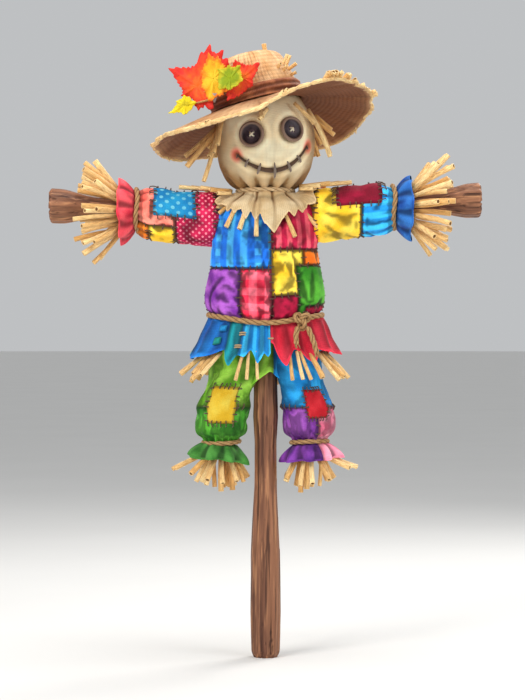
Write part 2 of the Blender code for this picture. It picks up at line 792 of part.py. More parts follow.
def button_eye(name, sideways, turn):
    """A four-hole button sewn flat on the face, with its thread crossed in front."""
    out = face_way(sideways, 12)
    place = facing(out * (HEAD_R + FIT), out)
    stations = [(0.0, BUTTON_R - 0.001), (0.0008, BUTTON_R), (0.0030, BUTTON_R), (0.0034, BUTTON_R - 0.0012)]
    stations += [(0.0034, BUTTON_R - 0.0022), (0.0026, BUTTON_R - 0.0032)]
    disc = skin([ring((0, 0, z), r, r, sides=18) for z, r in stations])
    button = solid(f"{name}_button_eye", placed(disc, place), BUTTON, turn)
    holes = []
    for i in range(4):
        at = math.radians(45 + 90 * i)
        x, y = 0.0026 * math.cos(at), 0.0026 * math.sin(at)
        hole = skin([ring((x, y, z), 0.0010, 0.0010, sides=6) for z in (-0.01, 0.01)])
        holes.append(placed(hole, place))
    combine(button, holes, "DIFFERENCE")
    strands = []
    for at in (math.pi / 4, 3 * math.pi / 4):
        end = Vector((math.cos(at), math.sin(at), 0)) * 0.0034
        up = Vector((0, 0, 0.0026 + FIT + 0.0007))
        strands.append(placed(tube([up - end, up + end], 0.0007), place))
    thread = solid(f"{name}_eye_thread", strands[0], PALE_THREAD, turn)
    combine(thread, strands[1:], "UNION")


def mouth(turn):
    """A cord smile along the face, crossed by five stitches."""
    thick = 0.0011
    out_to = HEAD_R + FIT + 0.0016

    def along(share):
        """A point of the smile: share runs from -1 at one corner to 1 at the other."""
        return face_way(49 * share, -33 + 22 * share * share)

    points = [along(-1 + 2 * i / 14) * out_to for i in range(15)]
    smile = solid("mouth_stitching", tube(points, thick), THREAD, turn)
    stitches = []
    for i in range(5):
        share = 0.78 * (i / 2 - 1)
        middle = along(share)
        before, after = along(share - 0.02), along(share + 0.02)
        upward = (after - before).normalized().cross(middle) * -1
        ends = [(middle + upward * reach).normalized() * (out_to + 0.0004) for reach in (-0.085, 0, 0.085)]
        stitches.append(tube(ends, 0.0009))
    combine(smile, stitches, "UNION")


# the way out from the head, and where the three tips end
HAIR = {
    "right": (
        (-0.90, -0.34, 0.26),
        [(-0.0560, -0.0240, 0.4880), (-0.0650, -0.0190, 0.4830), (-0.0790, -0.0120, 0.4920)],
    ),
    "left": (
        (0.70, -0.50, 0.52),
        [(0.0540, -0.0360, 0.5240), (0.0600, -0.0260, 0.5100), (0.0660, -0.0200, 0.5010)],
    ),
}


def hair(name, turn):
    """Straw pushed out from under the hat beside the face."""
    way, tips = HAIR[name]
    out = Vector(way).normalized()
    place = facing(out * (HEAD_R + 0.0055), out)
    base = skin([ring((0, 0, z), 0.0060, 0.0045, sides=10) for z in (-0.0018, 0.0018)])
    stems = []
    for number, tip in enumerate(tips):
        root = place @ Vector((-0.003 + 0.003 * number, 0, 0.0005))
        stems.append((root, Vector(tip) - HEAD))
    straws(f"{name}_hair_straw", placed(base, place), stems, turn)


# ---------------------------------------------------------------- hat, in the hat's frame


def brim_z(radius, turn):
    """The brim droops, less at the sides than at the front and back."""
    share = (radius - HAT_R) / (BRIM_R - HAT_R)
    return -share * (0.0205 - 0.0035 * math.cos(2 * turn))


def brim_ring(radius, lift):
    points = []
    for i in range(BRIM):
        turn = 2 * math.pi * i / BRIM
        z = brim_z(radius, turn) + lift
        points.append(Vector((radius * math.cos(turn), radius * math.sin(turn), z)))
    return points


def crown_ring(height, radius):
    return ring((0, 0, height), radius, radius, sides=BRIM)


# height above the brim, and radius
CROWN = [(0.0020, HAT_R), (0.0180, 0.0436), (0.0350, 0.0372), (0.0480, 0.0300), (CROWN_H, 0.0150)]


def hat(lift):
    """Crown and drooping brim in one, open below."""
    brim_radii = [0.0600, 0.0850, BRIM_R]
    outer = [crown_ring(z, r) for z, r in reversed(CROWN)]
    outer += [brim_ring(r, 0.0) for r in brim_radii]
    inner = [brim_ring(r, -FELT) for r in reversed(brim_radii)]
    inner.append(crown_ring(0.0005, HAT_R - FELT))
    inner += [crown_ring(z - FELT, r - FELT) for z, r in CROWN[1:]]
    solid("hat", skin(outer + inner), HAT_FELT, lift)


def hat_band(lift):
    stations = [(0.0030, 0.0459), (0.0150, 0.0446)]
    outer = [crown_ring(z, r + 0.0012) for z, r in stations]
    inner = [crown_ring(z, r) for z, r in stations]
    solid("hat_band", shell(outer, inner), BAND, lift)


def hat_straw(lift):
    """One stem left standing on top of the crown."""
    foot = CROWN_H - 0.0006
    points = [Vector((x, 0, foot + up)) for x, up in ((0.0190, 0), (0.0193, 0.0030), (0.0205, 0.0055))]
    solid("hat_straw", tube(points, [0.0030, 0.0025, 0.0028]), STRAW, lift)


# A five-lobed leaf's points and the notches between them: degrees and share of the leaf's size
LOBES = ((90, 1.0), (62, 0.50), (30, 0.90), (-2, 0.48), (-35, 0.70), (-90, 0.45))
LOBES += ((-145, 0.70), (-178, 0.48), (150, 0.90), (118, 0.50))
# name, centre from the hat's origin, facing, spin in degrees, size, colour
LEAVES = (
    ("red_leaf", (-0.0600, -0.0350, 0.0250), (-0.50, -0.85, 0.15), -14, 0.033, LEAF_RED),
    ("orange_leaf", (-0.0170, -0.0520, 0.0240), (-0.15, -0.97, 0.15), 28, 0.027, LEAF_RED),
    ("yellow_leaf", (-0.0430, -0.0555, 0.0260), (-0.35, -0.92, 0.15), 4, 0.023, LEAF_YELLOW),
    ("green_leaf", (-0.0180, -0.0590, 0.0260), (-0.20, -0.96, 0.15), -30, 0.014, GREEN),
    ("small_leaf", (-0.0740, -0.0370, -0.0010), (-0.55, -0.80, 0.20), 130, 0.013, LEAF_YELLOW),
)


def leaf(name, centre, way, spin, size, paint, lift):
    """A stiffened cloth leaf, cut flat."""
    place = facing(HAT + Vector(centre), Vector(way).normalized()) @ Matrix.Rotation(math.radians(spin), 4, "Z")
    outline = []
    for degrees, reach in LOBES:
        turn = math.radians(degrees)
        outline.append((size * reach * math.cos(turn), size * reach * math.sin(turn)))
    plate = skin([[Vector((x, y, z)) for x, y in outline] for z in (0.0, 0.0010)])
    solid(name, placed(plate, lift.matrix_world.inverted() @ place), paint, lift)


# ---------------------------------------------------------------- assembly


def build():
    clear_scene()
    pole()
    bolt_set()
    shirt()
    torso_stuffing()
    collar()
    belt()
    belt_tails()
    trouser_waist()
    arm = empty("arm_axis", (0, 0, BAR_Z), Matrix.Rotation(ARM_TILT, 4, "Y"))
    crossbar(arm)
    hip = empty("hip_axis", (0, 0, HIP_Z))
    trousers = {"right": (RED, RED, GREEN, YELLOW), "left": (YELLOW, BLUE, BLUE, RED)}
    patches = {"right": (BLUE, (0.064, 0.106), (4, 56)), "left": (RED, (0.066, 0.108), (34, 72))}
    for name, side in SIDES.items():
        sleeve_paint, cuff_paint, leg_paint, knee_paint = trousers[name]
        sleeve(name, side, sleeve_paint, arm)
        sleeve_stuffing(name, side, arm)
        patch_paint, x_range, turn_range = patches[name]
        sleeve_patch(name, side, patch_paint, arm, x_range, turn_range)
        cuff(name, side, cuff_paint, arm)
        wrist_rope(name, side, arm)
        hand_straw(name, side, arm)
        shoulder_straw(name, side, arm)
        skirt(name, side, BLUE if side < 0 else RED)
        waist_straw(name, side)
        leg(name, side, leg_paint, hip)
        ankle(name, side, leg_paint, hip)
        foot_straw(name, side, hip)
        knee_patch(name, side, knee_paint, hip)
    turn = empty("head_axis", HEAD)
    head(turn)
    button_eye("right", -24.5, turn)
    button_eye("left", 24.5, turn)
    mouth(turn)
    for name in SIDES:
        hair(name, turn)
    lift = empty("hat_axis", HAT, hat_turn())
    hat(lift)
    hat_band(lift)
    hat_straw(lift)
    for name, centre, way, spin, size, paint in LEAVES:
        leaf(name, centre, way, spin, size, paint, lift)


build()
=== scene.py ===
"""The looks of the scarecrow: patchwork, sackcloth, straw, cord, a straw hat, cloth leaves and hewn wood.

Lengths are in metres. Angles round the body are 0 at the front and grow towards +X, the figure's left.
"""

import functools
import json
import math
import random
from collections import namedtuple

import bmesh
import bpy
import numpy as np
from mathutils import Matrix, Vector, noise
from mathutils.kdtree import KDTree


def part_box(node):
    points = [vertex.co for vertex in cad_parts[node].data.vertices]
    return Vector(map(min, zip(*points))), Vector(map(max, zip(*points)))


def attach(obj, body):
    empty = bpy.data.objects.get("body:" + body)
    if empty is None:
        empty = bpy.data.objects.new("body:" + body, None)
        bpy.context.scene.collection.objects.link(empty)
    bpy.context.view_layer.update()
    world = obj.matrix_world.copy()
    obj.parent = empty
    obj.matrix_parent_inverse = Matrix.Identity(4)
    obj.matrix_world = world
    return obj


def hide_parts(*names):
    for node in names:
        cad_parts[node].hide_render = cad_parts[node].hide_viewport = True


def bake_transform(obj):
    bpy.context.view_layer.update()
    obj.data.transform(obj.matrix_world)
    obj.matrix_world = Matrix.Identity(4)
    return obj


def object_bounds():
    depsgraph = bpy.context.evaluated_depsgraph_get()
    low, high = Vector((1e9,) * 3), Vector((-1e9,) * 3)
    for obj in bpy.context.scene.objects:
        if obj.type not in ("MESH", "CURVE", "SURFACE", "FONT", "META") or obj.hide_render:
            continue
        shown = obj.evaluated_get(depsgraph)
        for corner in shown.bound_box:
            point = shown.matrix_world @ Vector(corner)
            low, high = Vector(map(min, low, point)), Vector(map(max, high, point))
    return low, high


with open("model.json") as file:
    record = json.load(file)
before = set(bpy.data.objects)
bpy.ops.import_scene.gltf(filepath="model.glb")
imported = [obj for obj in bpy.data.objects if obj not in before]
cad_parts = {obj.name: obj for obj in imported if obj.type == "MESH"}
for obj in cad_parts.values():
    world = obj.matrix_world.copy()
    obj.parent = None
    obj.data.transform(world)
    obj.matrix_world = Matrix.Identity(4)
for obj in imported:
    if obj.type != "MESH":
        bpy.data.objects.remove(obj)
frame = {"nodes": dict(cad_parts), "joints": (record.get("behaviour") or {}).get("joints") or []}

CAD_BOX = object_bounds()
SIDES = {"right": -1, "left": 1}
JOINTS = {joint["name"]: joint for joint in frame["joints"]}
TAU = 2 * math.pi


# ---------------------------------------------------------------- places, all read from the frame


@functools.cache
def box(node):
    return [Vector(corner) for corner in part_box(node)]


def low(node):
    return box(node)[0].copy()


def high(node):
    return box(node)[1].copy()


def mid(node):
    return (low(node) + high(node)) / 2


def half(node):
    return (high(node) - low(node)) / 2


HEAD = Vector(JOINTS["head_turn"]["pos_m"])
HEAD_R = half("head_sack").x * 0.985
HAT_UP = Vector(JOINTS["hat_lift"]["axis"]).normalized()
HAT_SIDE = Vector((0, 1, 0)).cross(HAT_UP).normalized()
HAT_BACK = HAT_UP.cross(HAT_SIDE)
HAT_AT = mid("hat_band") - HAT_UP * 0.009  # where the brim leaves the crown
HIP_Z = JOINTS["right_leg_swing"]["pos_m"][2]
BELT_Z = mid("belt_rope").z
POLE_CLEAR = 0.014  # the trousers keep this far from the pole's axis
STRAW_R = 0.0025


# ---------------------------------------------------------------- small tools


def smooth(share):
    share = min(1.0, max(0.0, share))
    return share * share * (3 - 2 * share)


def mix(a, b, share):
    return a + (b - a) * share


def curve(stations, t):
    """A smooth curve through rows of (t, value, value, ...), read at t."""
    rows = [np.array(row, float) for row in stations]
    t = min(max(t, rows[0][0]), rows[-1][0])
    for k in range(len(rows) - 1):
        if t <= rows[k + 1][0]:
            break
    before, start, end = rows[max(k - 1, 0)], rows[k], rows[k + 1]
    after = rows[min(k + 2, len(rows) - 1)]
    span = end[0] - start[0]
    s = (t - start[0]) / span
    leave = (end[1:] - before[1:]) / (end[0] - before[0]) * span
    reach = (after[1:] - start[1:]) / (after[0] - start[0]) * span
    a, b = 2 * s**3 - 3 * s**2 + 1, s**3 - 2 * s**2 + s
    return a * start[1:] + b * leave + (1 - a) * end[1:] + (s**3 - s**2) * reach


def zigzag(points, t):
    """Straight lines through (t, value) points."""
    return float(np.interp(t, [p[0] for p in points], [p[1] for p in points]))


def bell(distance, width):
    """1 at a distance of 0, falling away on both sides."""
    return math.exp(-((distance / width) ** 2))


def rough(point, size, seed=0.0):
    """Smooth noise about zero, with bumps of roughly this size."""
    return noise.noise(Vector(point) / size + Vector((seed, seed * 1.7, -seed)))


# ---------------------------------------------------------------- materials

SPECULAR = 0.22  # all of it is dull stuff
BLUSH = (0.93, 0.13, 0.1)  # the blush round the corners of the mouth


class Paint:
    """A Principled material and a short way to write its nodes."""

    def __init__(self, name):
        self.material = bpy.data.materials.new(name)
        self.material.use_nodes = True
        self.tree = self.material.node_tree
        self.shader = self.tree.nodes["Principled BSDF"]

    def node(self, kind, **settings):
        made = self.tree.nodes.new(kind)
        for key, value in settings.items():
            setattr(made, key, value)
        return made

    def put(self, socket, value):
        if isinstance(value, bpy.types.NodeSocket):
            self.tree.links.new(value, socket)
        elif isinstance(value, (tuple, list)) and len(value) == 3 and len(socket.default_value) == 4:
            socket.default_value = (*value, 1)
        else:
            socket.default_value = value

    def maths(self, operation, a, b=0.0):
        made = self.node("ShaderNodeMath", operation=operation)
        self.put(made.inputs[0], a)
        self.put(made.inputs[1], b)
        return made.outputs[0]

    def times(self, a, b):
        return self.maths("MULTIPLY", a, b)

    def plus(self, a, b):
        return self.maths("ADD", a, b)

    def vector(self, operation, a, b=(0, 0, 0)):
        made = self.node("ShaderNodeVectorMath", operation=operation)
        self.put(made.inputs[0], a)
        self.put(made.inputs[1], b)
        return made.outputs["Value" if operation == "LENGTH" else "Vector"]

    def scaled(self, colour, factor):
        made = self.node("ShaderNodeVectorMath", operation="SCALE")
        self.put(made.inputs[0], colour)
        self.put(made.inputs["Scale"], factor)
        return made.outputs["Vector"]

    def blend(self, factor, a, b):
        """a where the factor is 0, b where it is 1."""
        made = self.node("ShaderNodeMix", data_type="RGBA")
        self.put(made.inputs[0], factor)
        self.put(made.inputs[6], a)
        self.put(made.inputs[7], b)
        return made.outputs[2]

    def span(self, value, low_in, high_in, low_out=0.0, high_out=1.0):
        """One range of numbers laid smoothly on another."""
        made = self.node("ShaderNodeMapRange", interpolation_type="SMOOTHSTEP")
        for socket, number in zip(made.inputs, (value, low_in, high_in, low_out, high_out)):
            self.put(socket, number)
        return made.outputs[0]

    def cloud(self, where, scale, detail=3.0, stretch=None):
        """Soft noise about 0.5."""
        if stretch:
            where = self.vector("MULTIPLY", where, stretch)
        made = self.node("ShaderNodeTexNoise")
        self.put(made.inputs["Vector"], where)
        self.put(made.inputs["Scale"], scale)
        self.put(made.inputs["Detail"], detail)
        return made.outputs[0]

    def value(self, name):
        return self.node("ShaderNodeAttribute", attribute_name=name).outputs["Fac"]

    def where(self, name=None):
        """A stored place on the cloth, in metres, or the object's own coordinates."""
        if name:
            return self.node("ShaderNodeAttribute", attribute_name=name).outputs["Vector"]
        return self.node("ShaderNodeTexCoord").outputs["Object"]

    def split(self, where):
        made = self.node("ShaderNodeSeparateXYZ")
        self.put(made.inputs[0], where)
        return made.outputs

    def grey(self, value):
        """One number as all three parts of a vector."""
        made = self.node("ShaderNodeCombineXYZ")
        for socket in made.inputs:
            self.put(socket, value)
        return made.outputs[0]

    def wave(self, across, pitch):
        """A sine across the cloth, 0 to 1."""
        turn = self.maths("SINE", self.times(across, TAU / pitch))
        return self.plus(self.times(turn, 0.5), 0.5)

    def painted_relief_shade(self, colour, amount=0.3):
        """Painted light and shade: lighter on ridges and darker in creases."""
        point = self.node("ShaderNodeNewGeometry").outputs["Pointiness"]
        shade = self.span(point, 0.44, 0.56, 1 - amount, 1 + amount * 0.7)
        return self.scaled(colour, shade)

    def bump(self, height, distance, under=None, strength=1.0):
        made = self.node("ShaderNodeBump")
        self.put(made.inputs["Height"], height)
        self.put(made.inputs["Distance"], distance)
        self.put(made.inputs["Strength"], strength)
        if under:
            self.put(made.inputs["Normal"], under)
        return made.outputs[0]

    def finish(self, colour, roughness, normal=None, sheen=0.0, metallic=0.0):
        settings = {
            "Base Color": colour,
            "Roughness": roughness,
            "Metallic": metallic,
            "Sheen Weight": sheen,
            "Specular IOR Level": SPECULAR,
        }
        if normal:
            settings["Normal"] = normal
        for name, value in settings.items():
            self.put(self.shader.inputs[name], value)
        return self.material


def pattern_mask(paint, u, v, where, pattern, pitch):
    """1 where the printed pattern shows, 0 on the ground cloth."""
    if pattern in ("stripes", "dashed"):
        stripe = paint.span(paint.wave(u, pitch), 0.25, 0.8)
        if pattern == "stripes":
            return stripe
        third = paint.maths("SUBTRACT", paint.maths("MODULO", paint.plus(u, 0.31), pitch * 3), pitch * 2)
        plain = paint.span(third, -0.0002, 0.0, 1.0, 0.0)
        dashes = paint.span(paint.wave(v, pitch), 0.45, 0.6, 0.25, 1.0)
        return paint.times(stripe, paint.maths("MAXIMUM", plain, dashes))
    if pattern == "check":
        squares = [paint.span(paint.wave(way, pitch), 0.42, 0.58) for way in (u, v)]
        return paint.times(paint.plus(*squares), 0.5)
    cells = paint.scaled(where, 1 / pitch)
    rounds = []
    for shift in (0.0, 0.5):
        moved = paint.vector("FRACTION", paint.vector("ADD", cells, (shift, shift, 0)))
        middle = paint.vector("SUBTRACT", moved, (0.5, 0.5, 0))
        away = paint.vector("LENGTH", paint.vector("MULTIPLY", middle, (1, 1, 0)))
        rounds.append(paint.span(away, 0.13, 0.21, 1.0, 0.0))
    return paint.maths("MAXIMUM", *rounds)


def cotton(name, base, light, pattern=None, print_colour=None, pitch=0.009, weave=0.0011):
    """Printed cotton: soft tone changes, painted shade along the seams, in folds and between the threads,
    painted light on ridges, and a fine plain weave.
    """
    paint = Paint(name)
    where = paint.where("cloth")
    u, v, _ = paint.split(where)
    colour = paint.blend(paint.span(paint.cloud(where, 48, 3), 0.36, 0.66), base, light)
    if pattern:
        mask = pattern_mask(paint, u, v, where, pattern, pitch)
        fade = paint.times(mask, paint.span(paint.cloud(where, 30, 2), 0.3, 0.6, 0.55, 0.95))
        colour = paint.blend(fade, colour, print_colour)
    threads = paint.times(paint.wave(u, weave), paint.wave(v, weave))
    fleck = paint.span(paint.cloud(where, 900, 2), 0.3, 0.7, 0.9, 1.08)
    # painted shade along the seams, darkest on the seam line itself
    shade = paint.times(fleck, paint.span(paint.value("seam"), 0.0, 1.0, 0.42, 1.0))
    # painted shade between the threads of the weave and painted light on them
    shade = paint.times(shade, paint.span(threads, 0.0, 0.5, 0.94, 1.04))
    # painted shade in folds and painted light on ridges and along a hem, from the hollow depth
    shade = paint.times(shade, paint.span(paint.value("hollow"), -0.9, 0.9, 1.22, 0.42))
    colour = paint.scaled(colour, shade)
    crumple = paint.bump(paint.cloud(where, 95, 4), 0.0016, strength=0.55)
    normal = paint.bump(threads, 0.00022, crumple, 0.8)
    return paint.finish(paint.painted_relief_shade(colour, 0.35), 0.78, normal, sheen=0.04)


def sackcloth(name, base, light, dark, thread=0.0015, blush=False):
    """Coarse jute cloth: thick and thin threads crossing, with painted shade in the open holes between them
    and wherever its stored darkening asks, and painted light on ridges with painted shade in creases.
    """
    paint = Paint(name)
    where = paint.where("cloth")
    wobble = paint.cloud(where, 260, 2)
    aside = paint.vector("MULTIPLY", paint.grey(wobble), (0.0006, 0.0006, 0))
    across, along, _ = paint.split(paint.vector("ADD", where, aside))
    height = paint.maths("MAXIMUM", paint.wave(across, thread), paint.wave(along, thread))
    # the open holes between the threads are painted dark: painted shade
    hole = paint.span(height, 0.12, 0.45, 0.86 if blush else 0.7, 1.0)
    colour = paint.blend(paint.span(paint.cloud(where, 40, 4), 0.35, 0.68), base, light)
    slub = paint.span(paint.cloud(where, 160, 3, (1.0, 0.12, 1.0)), 0.52, 0.72, 0.0, 0.1 if blush else 0.45)
    colour = paint.blend(slub, colour, dark)
    if blush:
        colour = paint.blend(paint.value("blush"), colour, BLUSH)
    # darkened by the cloth's stored darkening, which on the sack is painted shade
    colour = paint.blend(paint.value("stain_and_shade"), colour, dark)
    colour = paint.scaled(colour, hole)
    normal = paint.bump(height, 0.00045, paint.bump(paint.cloud(where, 80, 3), 0.0012, strength=0.4), 0.7)
    return paint.finish(paint.painted_relief_shade(colour, 0.45), 0.88, normal, sheen=0.05)


def straw_paint(name, base, light, dark):
    """Dry stems: each its own tone, with fine grooves along it, painted shade at the roots and inside the
    hollow ends, a darker tone on some pieces, and painted light on ridges with painted shade in creases.
    """
    paint = Paint(name)
    where = paint.where("cloth")
    tone = paint.value("shade")
    colour = paint.blend(tone, base, light)
    streak = paint.span(paint.cloud(where, 1.0, 3, (2600, 160, 1)), 0.42, 0.66)
    colour = paint.blend(paint.times(streak, 0.6), colour, dark)
    # darkened by the stored darkening: painted shade at the roots and in the hollow ends, and a darker tone
    # on some pieces
    colour = paint.blend(paint.value("stain_and_shade"), colour, dark)
    normal = paint.bump(streak, 0.0003, strength=0.7)
    return paint.finish(paint.painted_relief_shade(colour, 0.3), 0.55, normal, sheen=0.1)


def cord_paint(name, base, light, dark):
    """Twisted fibre, with painted shade in the lay between the strands."""
    paint = Paint(name)
    where = paint.where("cloth")
    fibre = paint.cloud(where, 1.0, 4, (1500, 260, 1))
    colour = paint.blend(paint.span(fibre, 0.3, 0.7), base, light)
    colour = paint.blend(paint.span(paint.value("shade"), 0.0, 0.6, 0.85, 0.0), colour, dark)
    normal = paint.bump(fibre, 0.00025, strength=0.8)
    return paint.finish(colour, 0.85, normal, sheen=0.03)


def wood_paint(name, along):
    """Stained, hewn wood: long grain, dark checks, and painted light on ridges with painted shade in creases.
    along is the grain's axis, 0 to 2.
    """
    paint = Paint(name)
    where = paint.where()
    stretch = [1.0, 1.0, 1.0]
    stretch[along] = 0.055
    grain = paint.cloud(where, 330, 5, tuple(stretch))
    broad = paint.cloud(where, 95, 3, tuple(stretch))
    colour = paint.blend(paint.span(broad, 0.32, 0.68), (0.105, 0.042, 0.026), (0.31, 0.135, 0.07))
    colour = paint.blend(paint.span(grain, 0.5, 0.72, 0.0, 0.75), colour, (0.52, 0.25, 0.12))
    stretch[along] = 0.03
    check = paint.span(paint.cloud(where, 210, 3, tuple(stretch)), 0.6, 0.7)
    colour = paint.blend(paint.times(check, 0.8), colour, (0.04, 0.016, 0.012))
    height = paint.maths("SUBTRACT", grain, check)
    normal = paint.bump(height, 0.0009, strength=0.75)
    return paint.finish(paint.painted_relief_shade(colour, 0.45), paint.span(grain, 0.3, 0.7, 0.62, 0.42), normal)


def hat_paint(name, base, light, dark):
    """Straw cloth in coiled rows, streaked, with painted shade towards the crown, under the brim, inside it
    and in the grooves between the rows, pale at the frayed rim, and painted light on ridges with painted
    shade in creases.
    """
    paint = Paint(name)
    where = paint.where("cloth")
    around, out, _ = paint.split(where)
    rows = paint.wave(out, 0.0042)
    ply = paint.wave(paint.plus(around, paint.times(out, 0.9)), 0.0036)
    mottled = paint.span(paint.cloud(where, 55, 4), 0.32, 0.68)
    colour = paint.blend(mottled, base, light)
    streak = paint.span(paint.cloud(where, 1.0, 4, (240, 34, 1)), 0.45, 0.7, 0.0, 0.55)
    colour = paint.blend(streak, colour, dark)
    # darkened by the stored darkening: painted shade at the foot of the crown, under the brim and inside it
    colour = paint.blend(paint.value("stain_and_shade"), colour, dark)
    colour = paint.blend(paint.value("shade"), colour, (0.86, 0.66, 0.4))
    height = paint.plus(paint.times(rows, 0.7), paint.times(ply, 0.3))
    # painted shade in the grooves between the coiled rows
    colour = paint.scaled(colour, paint.span(height, 0.0, 0.6, 0.82, 1.03))
    normal = paint.bump(height, 0.0004, paint.bump(paint.cloud(where, 60, 4), 0.0025, strength=0.5), 0.7)
    return paint.finish(paint.painted_relief_shade(colour, 0.4), 0.8, normal, sheen=0.03)


def band_paint():
    paint = Paint("hat_band")
    where = paint.where("cloth")
    ribs = paint.wave(paint.split(where)[0], 0.0016)
    mottled = paint.span(paint.cloud(where, 60, 3), 0.35, 0.65)
    colour = paint.blend(mottled, (0.17, 0.05, 0.022), (0.4, 0.145, 0.06))
    normal = paint.bump(ribs, 0.0003, paint.bump(paint.cloud(where, 70, 3), 0.002, strength=0.5), 0.8)
    # painted light on ridges and painted shade in creases
    return paint.finish(paint.painted_relief_shade(colour, 0.3), 0.75, normal, sheen=0.05)


def leaf_paint(name, heart, middle, edge):
    """A dyed leaf: one colour at the heart running out to another, with darker flecks."""
    paint = Paint(name)
    where = paint.where("cloth")
    out = paint.plus(paint.value("shade"), paint.span(paint.cloud(where, 130, 3), 0.3, 0.7, -0.22, 0.22))
    colour = paint.blend(paint.span(out, 0.1, 0.52), heart, middle)
    colour = paint.blend(paint.span(out, 0.5, 0.95), colour, edge)
    colour = paint.blend(paint.value("stain_and_shade"), colour, edge)
    fleck = paint.span(paint.cloud(where, 420, 3), 0.62, 0.72, 0.0, 0.5)
    colour = paint.blend(fleck, colour, tuple(0.45 * c for c in edge))
    normal = paint.bump(paint.cloud(where, 700, 3), 0.0003, strength=0.6)
    return paint.finish(colour, 0.6, normal, sheen=0.03)


def button_paint():
    paint = Paint("dark_button")
    where = paint.where()
    marble = paint.span(paint.cloud(where, 120, 5), 0.35, 0.7)
    colour = paint.blend(marble, (0.034, 0.022, 0.03), (0.105, 0.07, 0.078))
    colour = paint.blend(paint.value("rim"), colour, (0.19, 0.12, 0.085))
    scratch = paint.cloud(where, 1400, 3)
    normal = paint.bump(scratch, 0.0001, strength=0.5)
    # painted light on ridges and painted shade in creases
    return paint.finish(paint.painted_relief_shade(colour, 0.5), paint.span(scratch, 0.3, 0.7, 0.26, 0.42), normal)


def thread_paint(name, base, light):
    paint = Paint(name)
    where = paint.where()
    colour = paint.blend(paint.cloud(where, 900, 3), base, light)
    normal = paint.bump(paint.cloud(where, 2600, 2), 0.0002, strength=0.6)
    return paint.finish(colour, 0.8, normal, sheen=0.3)


def floor_paint():
    paint = Paint("floor")
    where = paint.where()
    colour = paint.blend(paint.cloud(where, 3, 3), (0.74, 0.73, 0.71), (0.79, 0.78, 0.76))
    return paint.finish(colour, 0.7, paint.bump(paint.cloud(where, 400, 3), 0.0005, strength=0.2))


# each cotton's name: the ground colour and its light tone, then the print, its colour and how far it repeats
COTTON_LOOKS = {
    "blue_stripe": ((0.01, 0.15, 0.72), (0.018, 0.26, 0.92), "dashed", (0.085, 0.54, 1.0), 0.014),
    "blue": ((0.008, 0.11, 0.47), (0.015, 0.23, 0.72)),
    "sky": ((0.006, 0.25, 0.68), (0.03, 0.45, 0.95)),
    "sky_stripe": ((0.006, 0.23, 0.64), (0.02, 0.33, 0.8), "stripes", (0.05, 0.56, 0.98), 0.012),
    "navy": ((0.006, 0.075, 0.25), (0.015, 0.19, 0.48)),
    "blue_dots": ((0.012, 0.28, 0.66), (0.025, 0.46, 0.85), "dots", (0.26, 0.8, 0.95), 0.0095),
    "crimson": ((0.26, 0.003, 0.025), (0.52, 0.008, 0.055)),
    "crimson_stripe": ((0.4, 0.006, 0.035), (0.6, 0.012, 0.07), "stripes", (0.92, 0.12, 0.17), 0.0108),
    "crimson_dots": ((0.4, 0.004, 0.045), (0.7, 0.02, 0.1), "dots", (0.97, 0.3, 0.38), 0.0062),
    "pink_check": ((0.8, 0.015, 0.055), (0.88, 0.035, 0.09), "check", (0.98, 0.2, 0.27), 0.015),
    "red": ((0.64, 0.008, 0.02), (0.82, 0.03, 0.045)),
    "scarlet": ((0.6, 0.01, 0.032), (0.84, 0.042, 0.08)),
    "coral": ((0.56, 0.015, 0.04), (0.85, 0.1, 0.12)),
    "yellow": ((0.9, 0.54, 0.02), (0.98, 0.74, 0.085)),
    "orange": ((0.86, 0.15, 0.006), (0.97, 0.26, 0.02)),
    "salmon": ((0.8, 0.1, 0.075), (0.96, 0.29, 0.21)),
    "lime": ((0.15, 0.43, 0.018), (0.4, 0.76, 0.09)),
    "deep_blue": ((0.006, 0.055, 0.3), (0.03, 0.17, 0.52)),
    "leaf_green": ((0.035, 0.26, 0.016), (0.13, 0.54, 0.045)),
    "jade": ((0.01, 0.33, 0.3), (0.03, 0.48, 0.4)),
    "green": ((0.025, 0.19, 0.01), (0.1, 0.43, 0.035)),
    "moss": ((0.018, 0.11, 0.012), (0.08, 0.29, 0.05)),
    "teal": ((0.005, 0.2, 0.3), (0.012, 0.35, 0.42)),
    "purple": ((0.16, 0.02, 0.29), (0.42, 0.11, 0.56)),
    "plum": ((0.07, 0.012, 0.16), (0.23, 0.05, 0.38)),
    "pink": ((0.8, 0.16, 0.27), (1.0, 0.41, 0.53)),
}
COTTONS = {name: cotton(name, *look) for name, look in COTTON_LOOKS.items()}
SACK = sackcloth("sackcloth", (0.68, 0.48, 0.24), (0.9, 0.73, 0.46), (0.26, 0.13, 0.045))
FACE = sackcloth(
    "face_sackcloth",
    (0.98, 0.79, 0.48),
    (1.0, 0.9, 0.62),
    (0.34, 0.165, 0.045),
    0.0014,
    blush=True,
)
STRAW = straw_paint("straw", (0.7, 0.385, 0.12), (1.0, 0.76, 0.37), (0.31, 0.113, 0.025))
CORD = cord_paint("jute_rope", (0.29, 0.15, 0.06), (0.52, 0.32, 0.14), (0.07, 0.03, 0.012))
PALE_CORD = cord_paint("neck_cord", (0.46, 0.28, 0.13), (0.74, 0.56, 0.32), (0.15, 0.07, 0.028))
POLE_WOOD = wood_paint("pole_wood", 2)
BAR_WOOD = wood_paint("bar_wood", 0)
HAT_CLOTH = hat_paint("hat_straw_cloth", (0.7, 0.37, 0.15), (0.93, 0.61, 0.32), (0.2, 0.062, 0.02))
BAND = band_paint()
BUTTON = button_paint()
THREAD = thread_paint("thread", (0.05, 0.022, 0.012), (0.13, 0.07, 0.038))
TAN_THREAD = thread_paint("tan_thread", (0.3, 0.19, 0.09), (0.56, 0.4, 0.22))
STITCH_THREAD = thread_paint("mouth_thread", (0.12, 0.085, 0.065), (0.3, 0.23, 0.18))
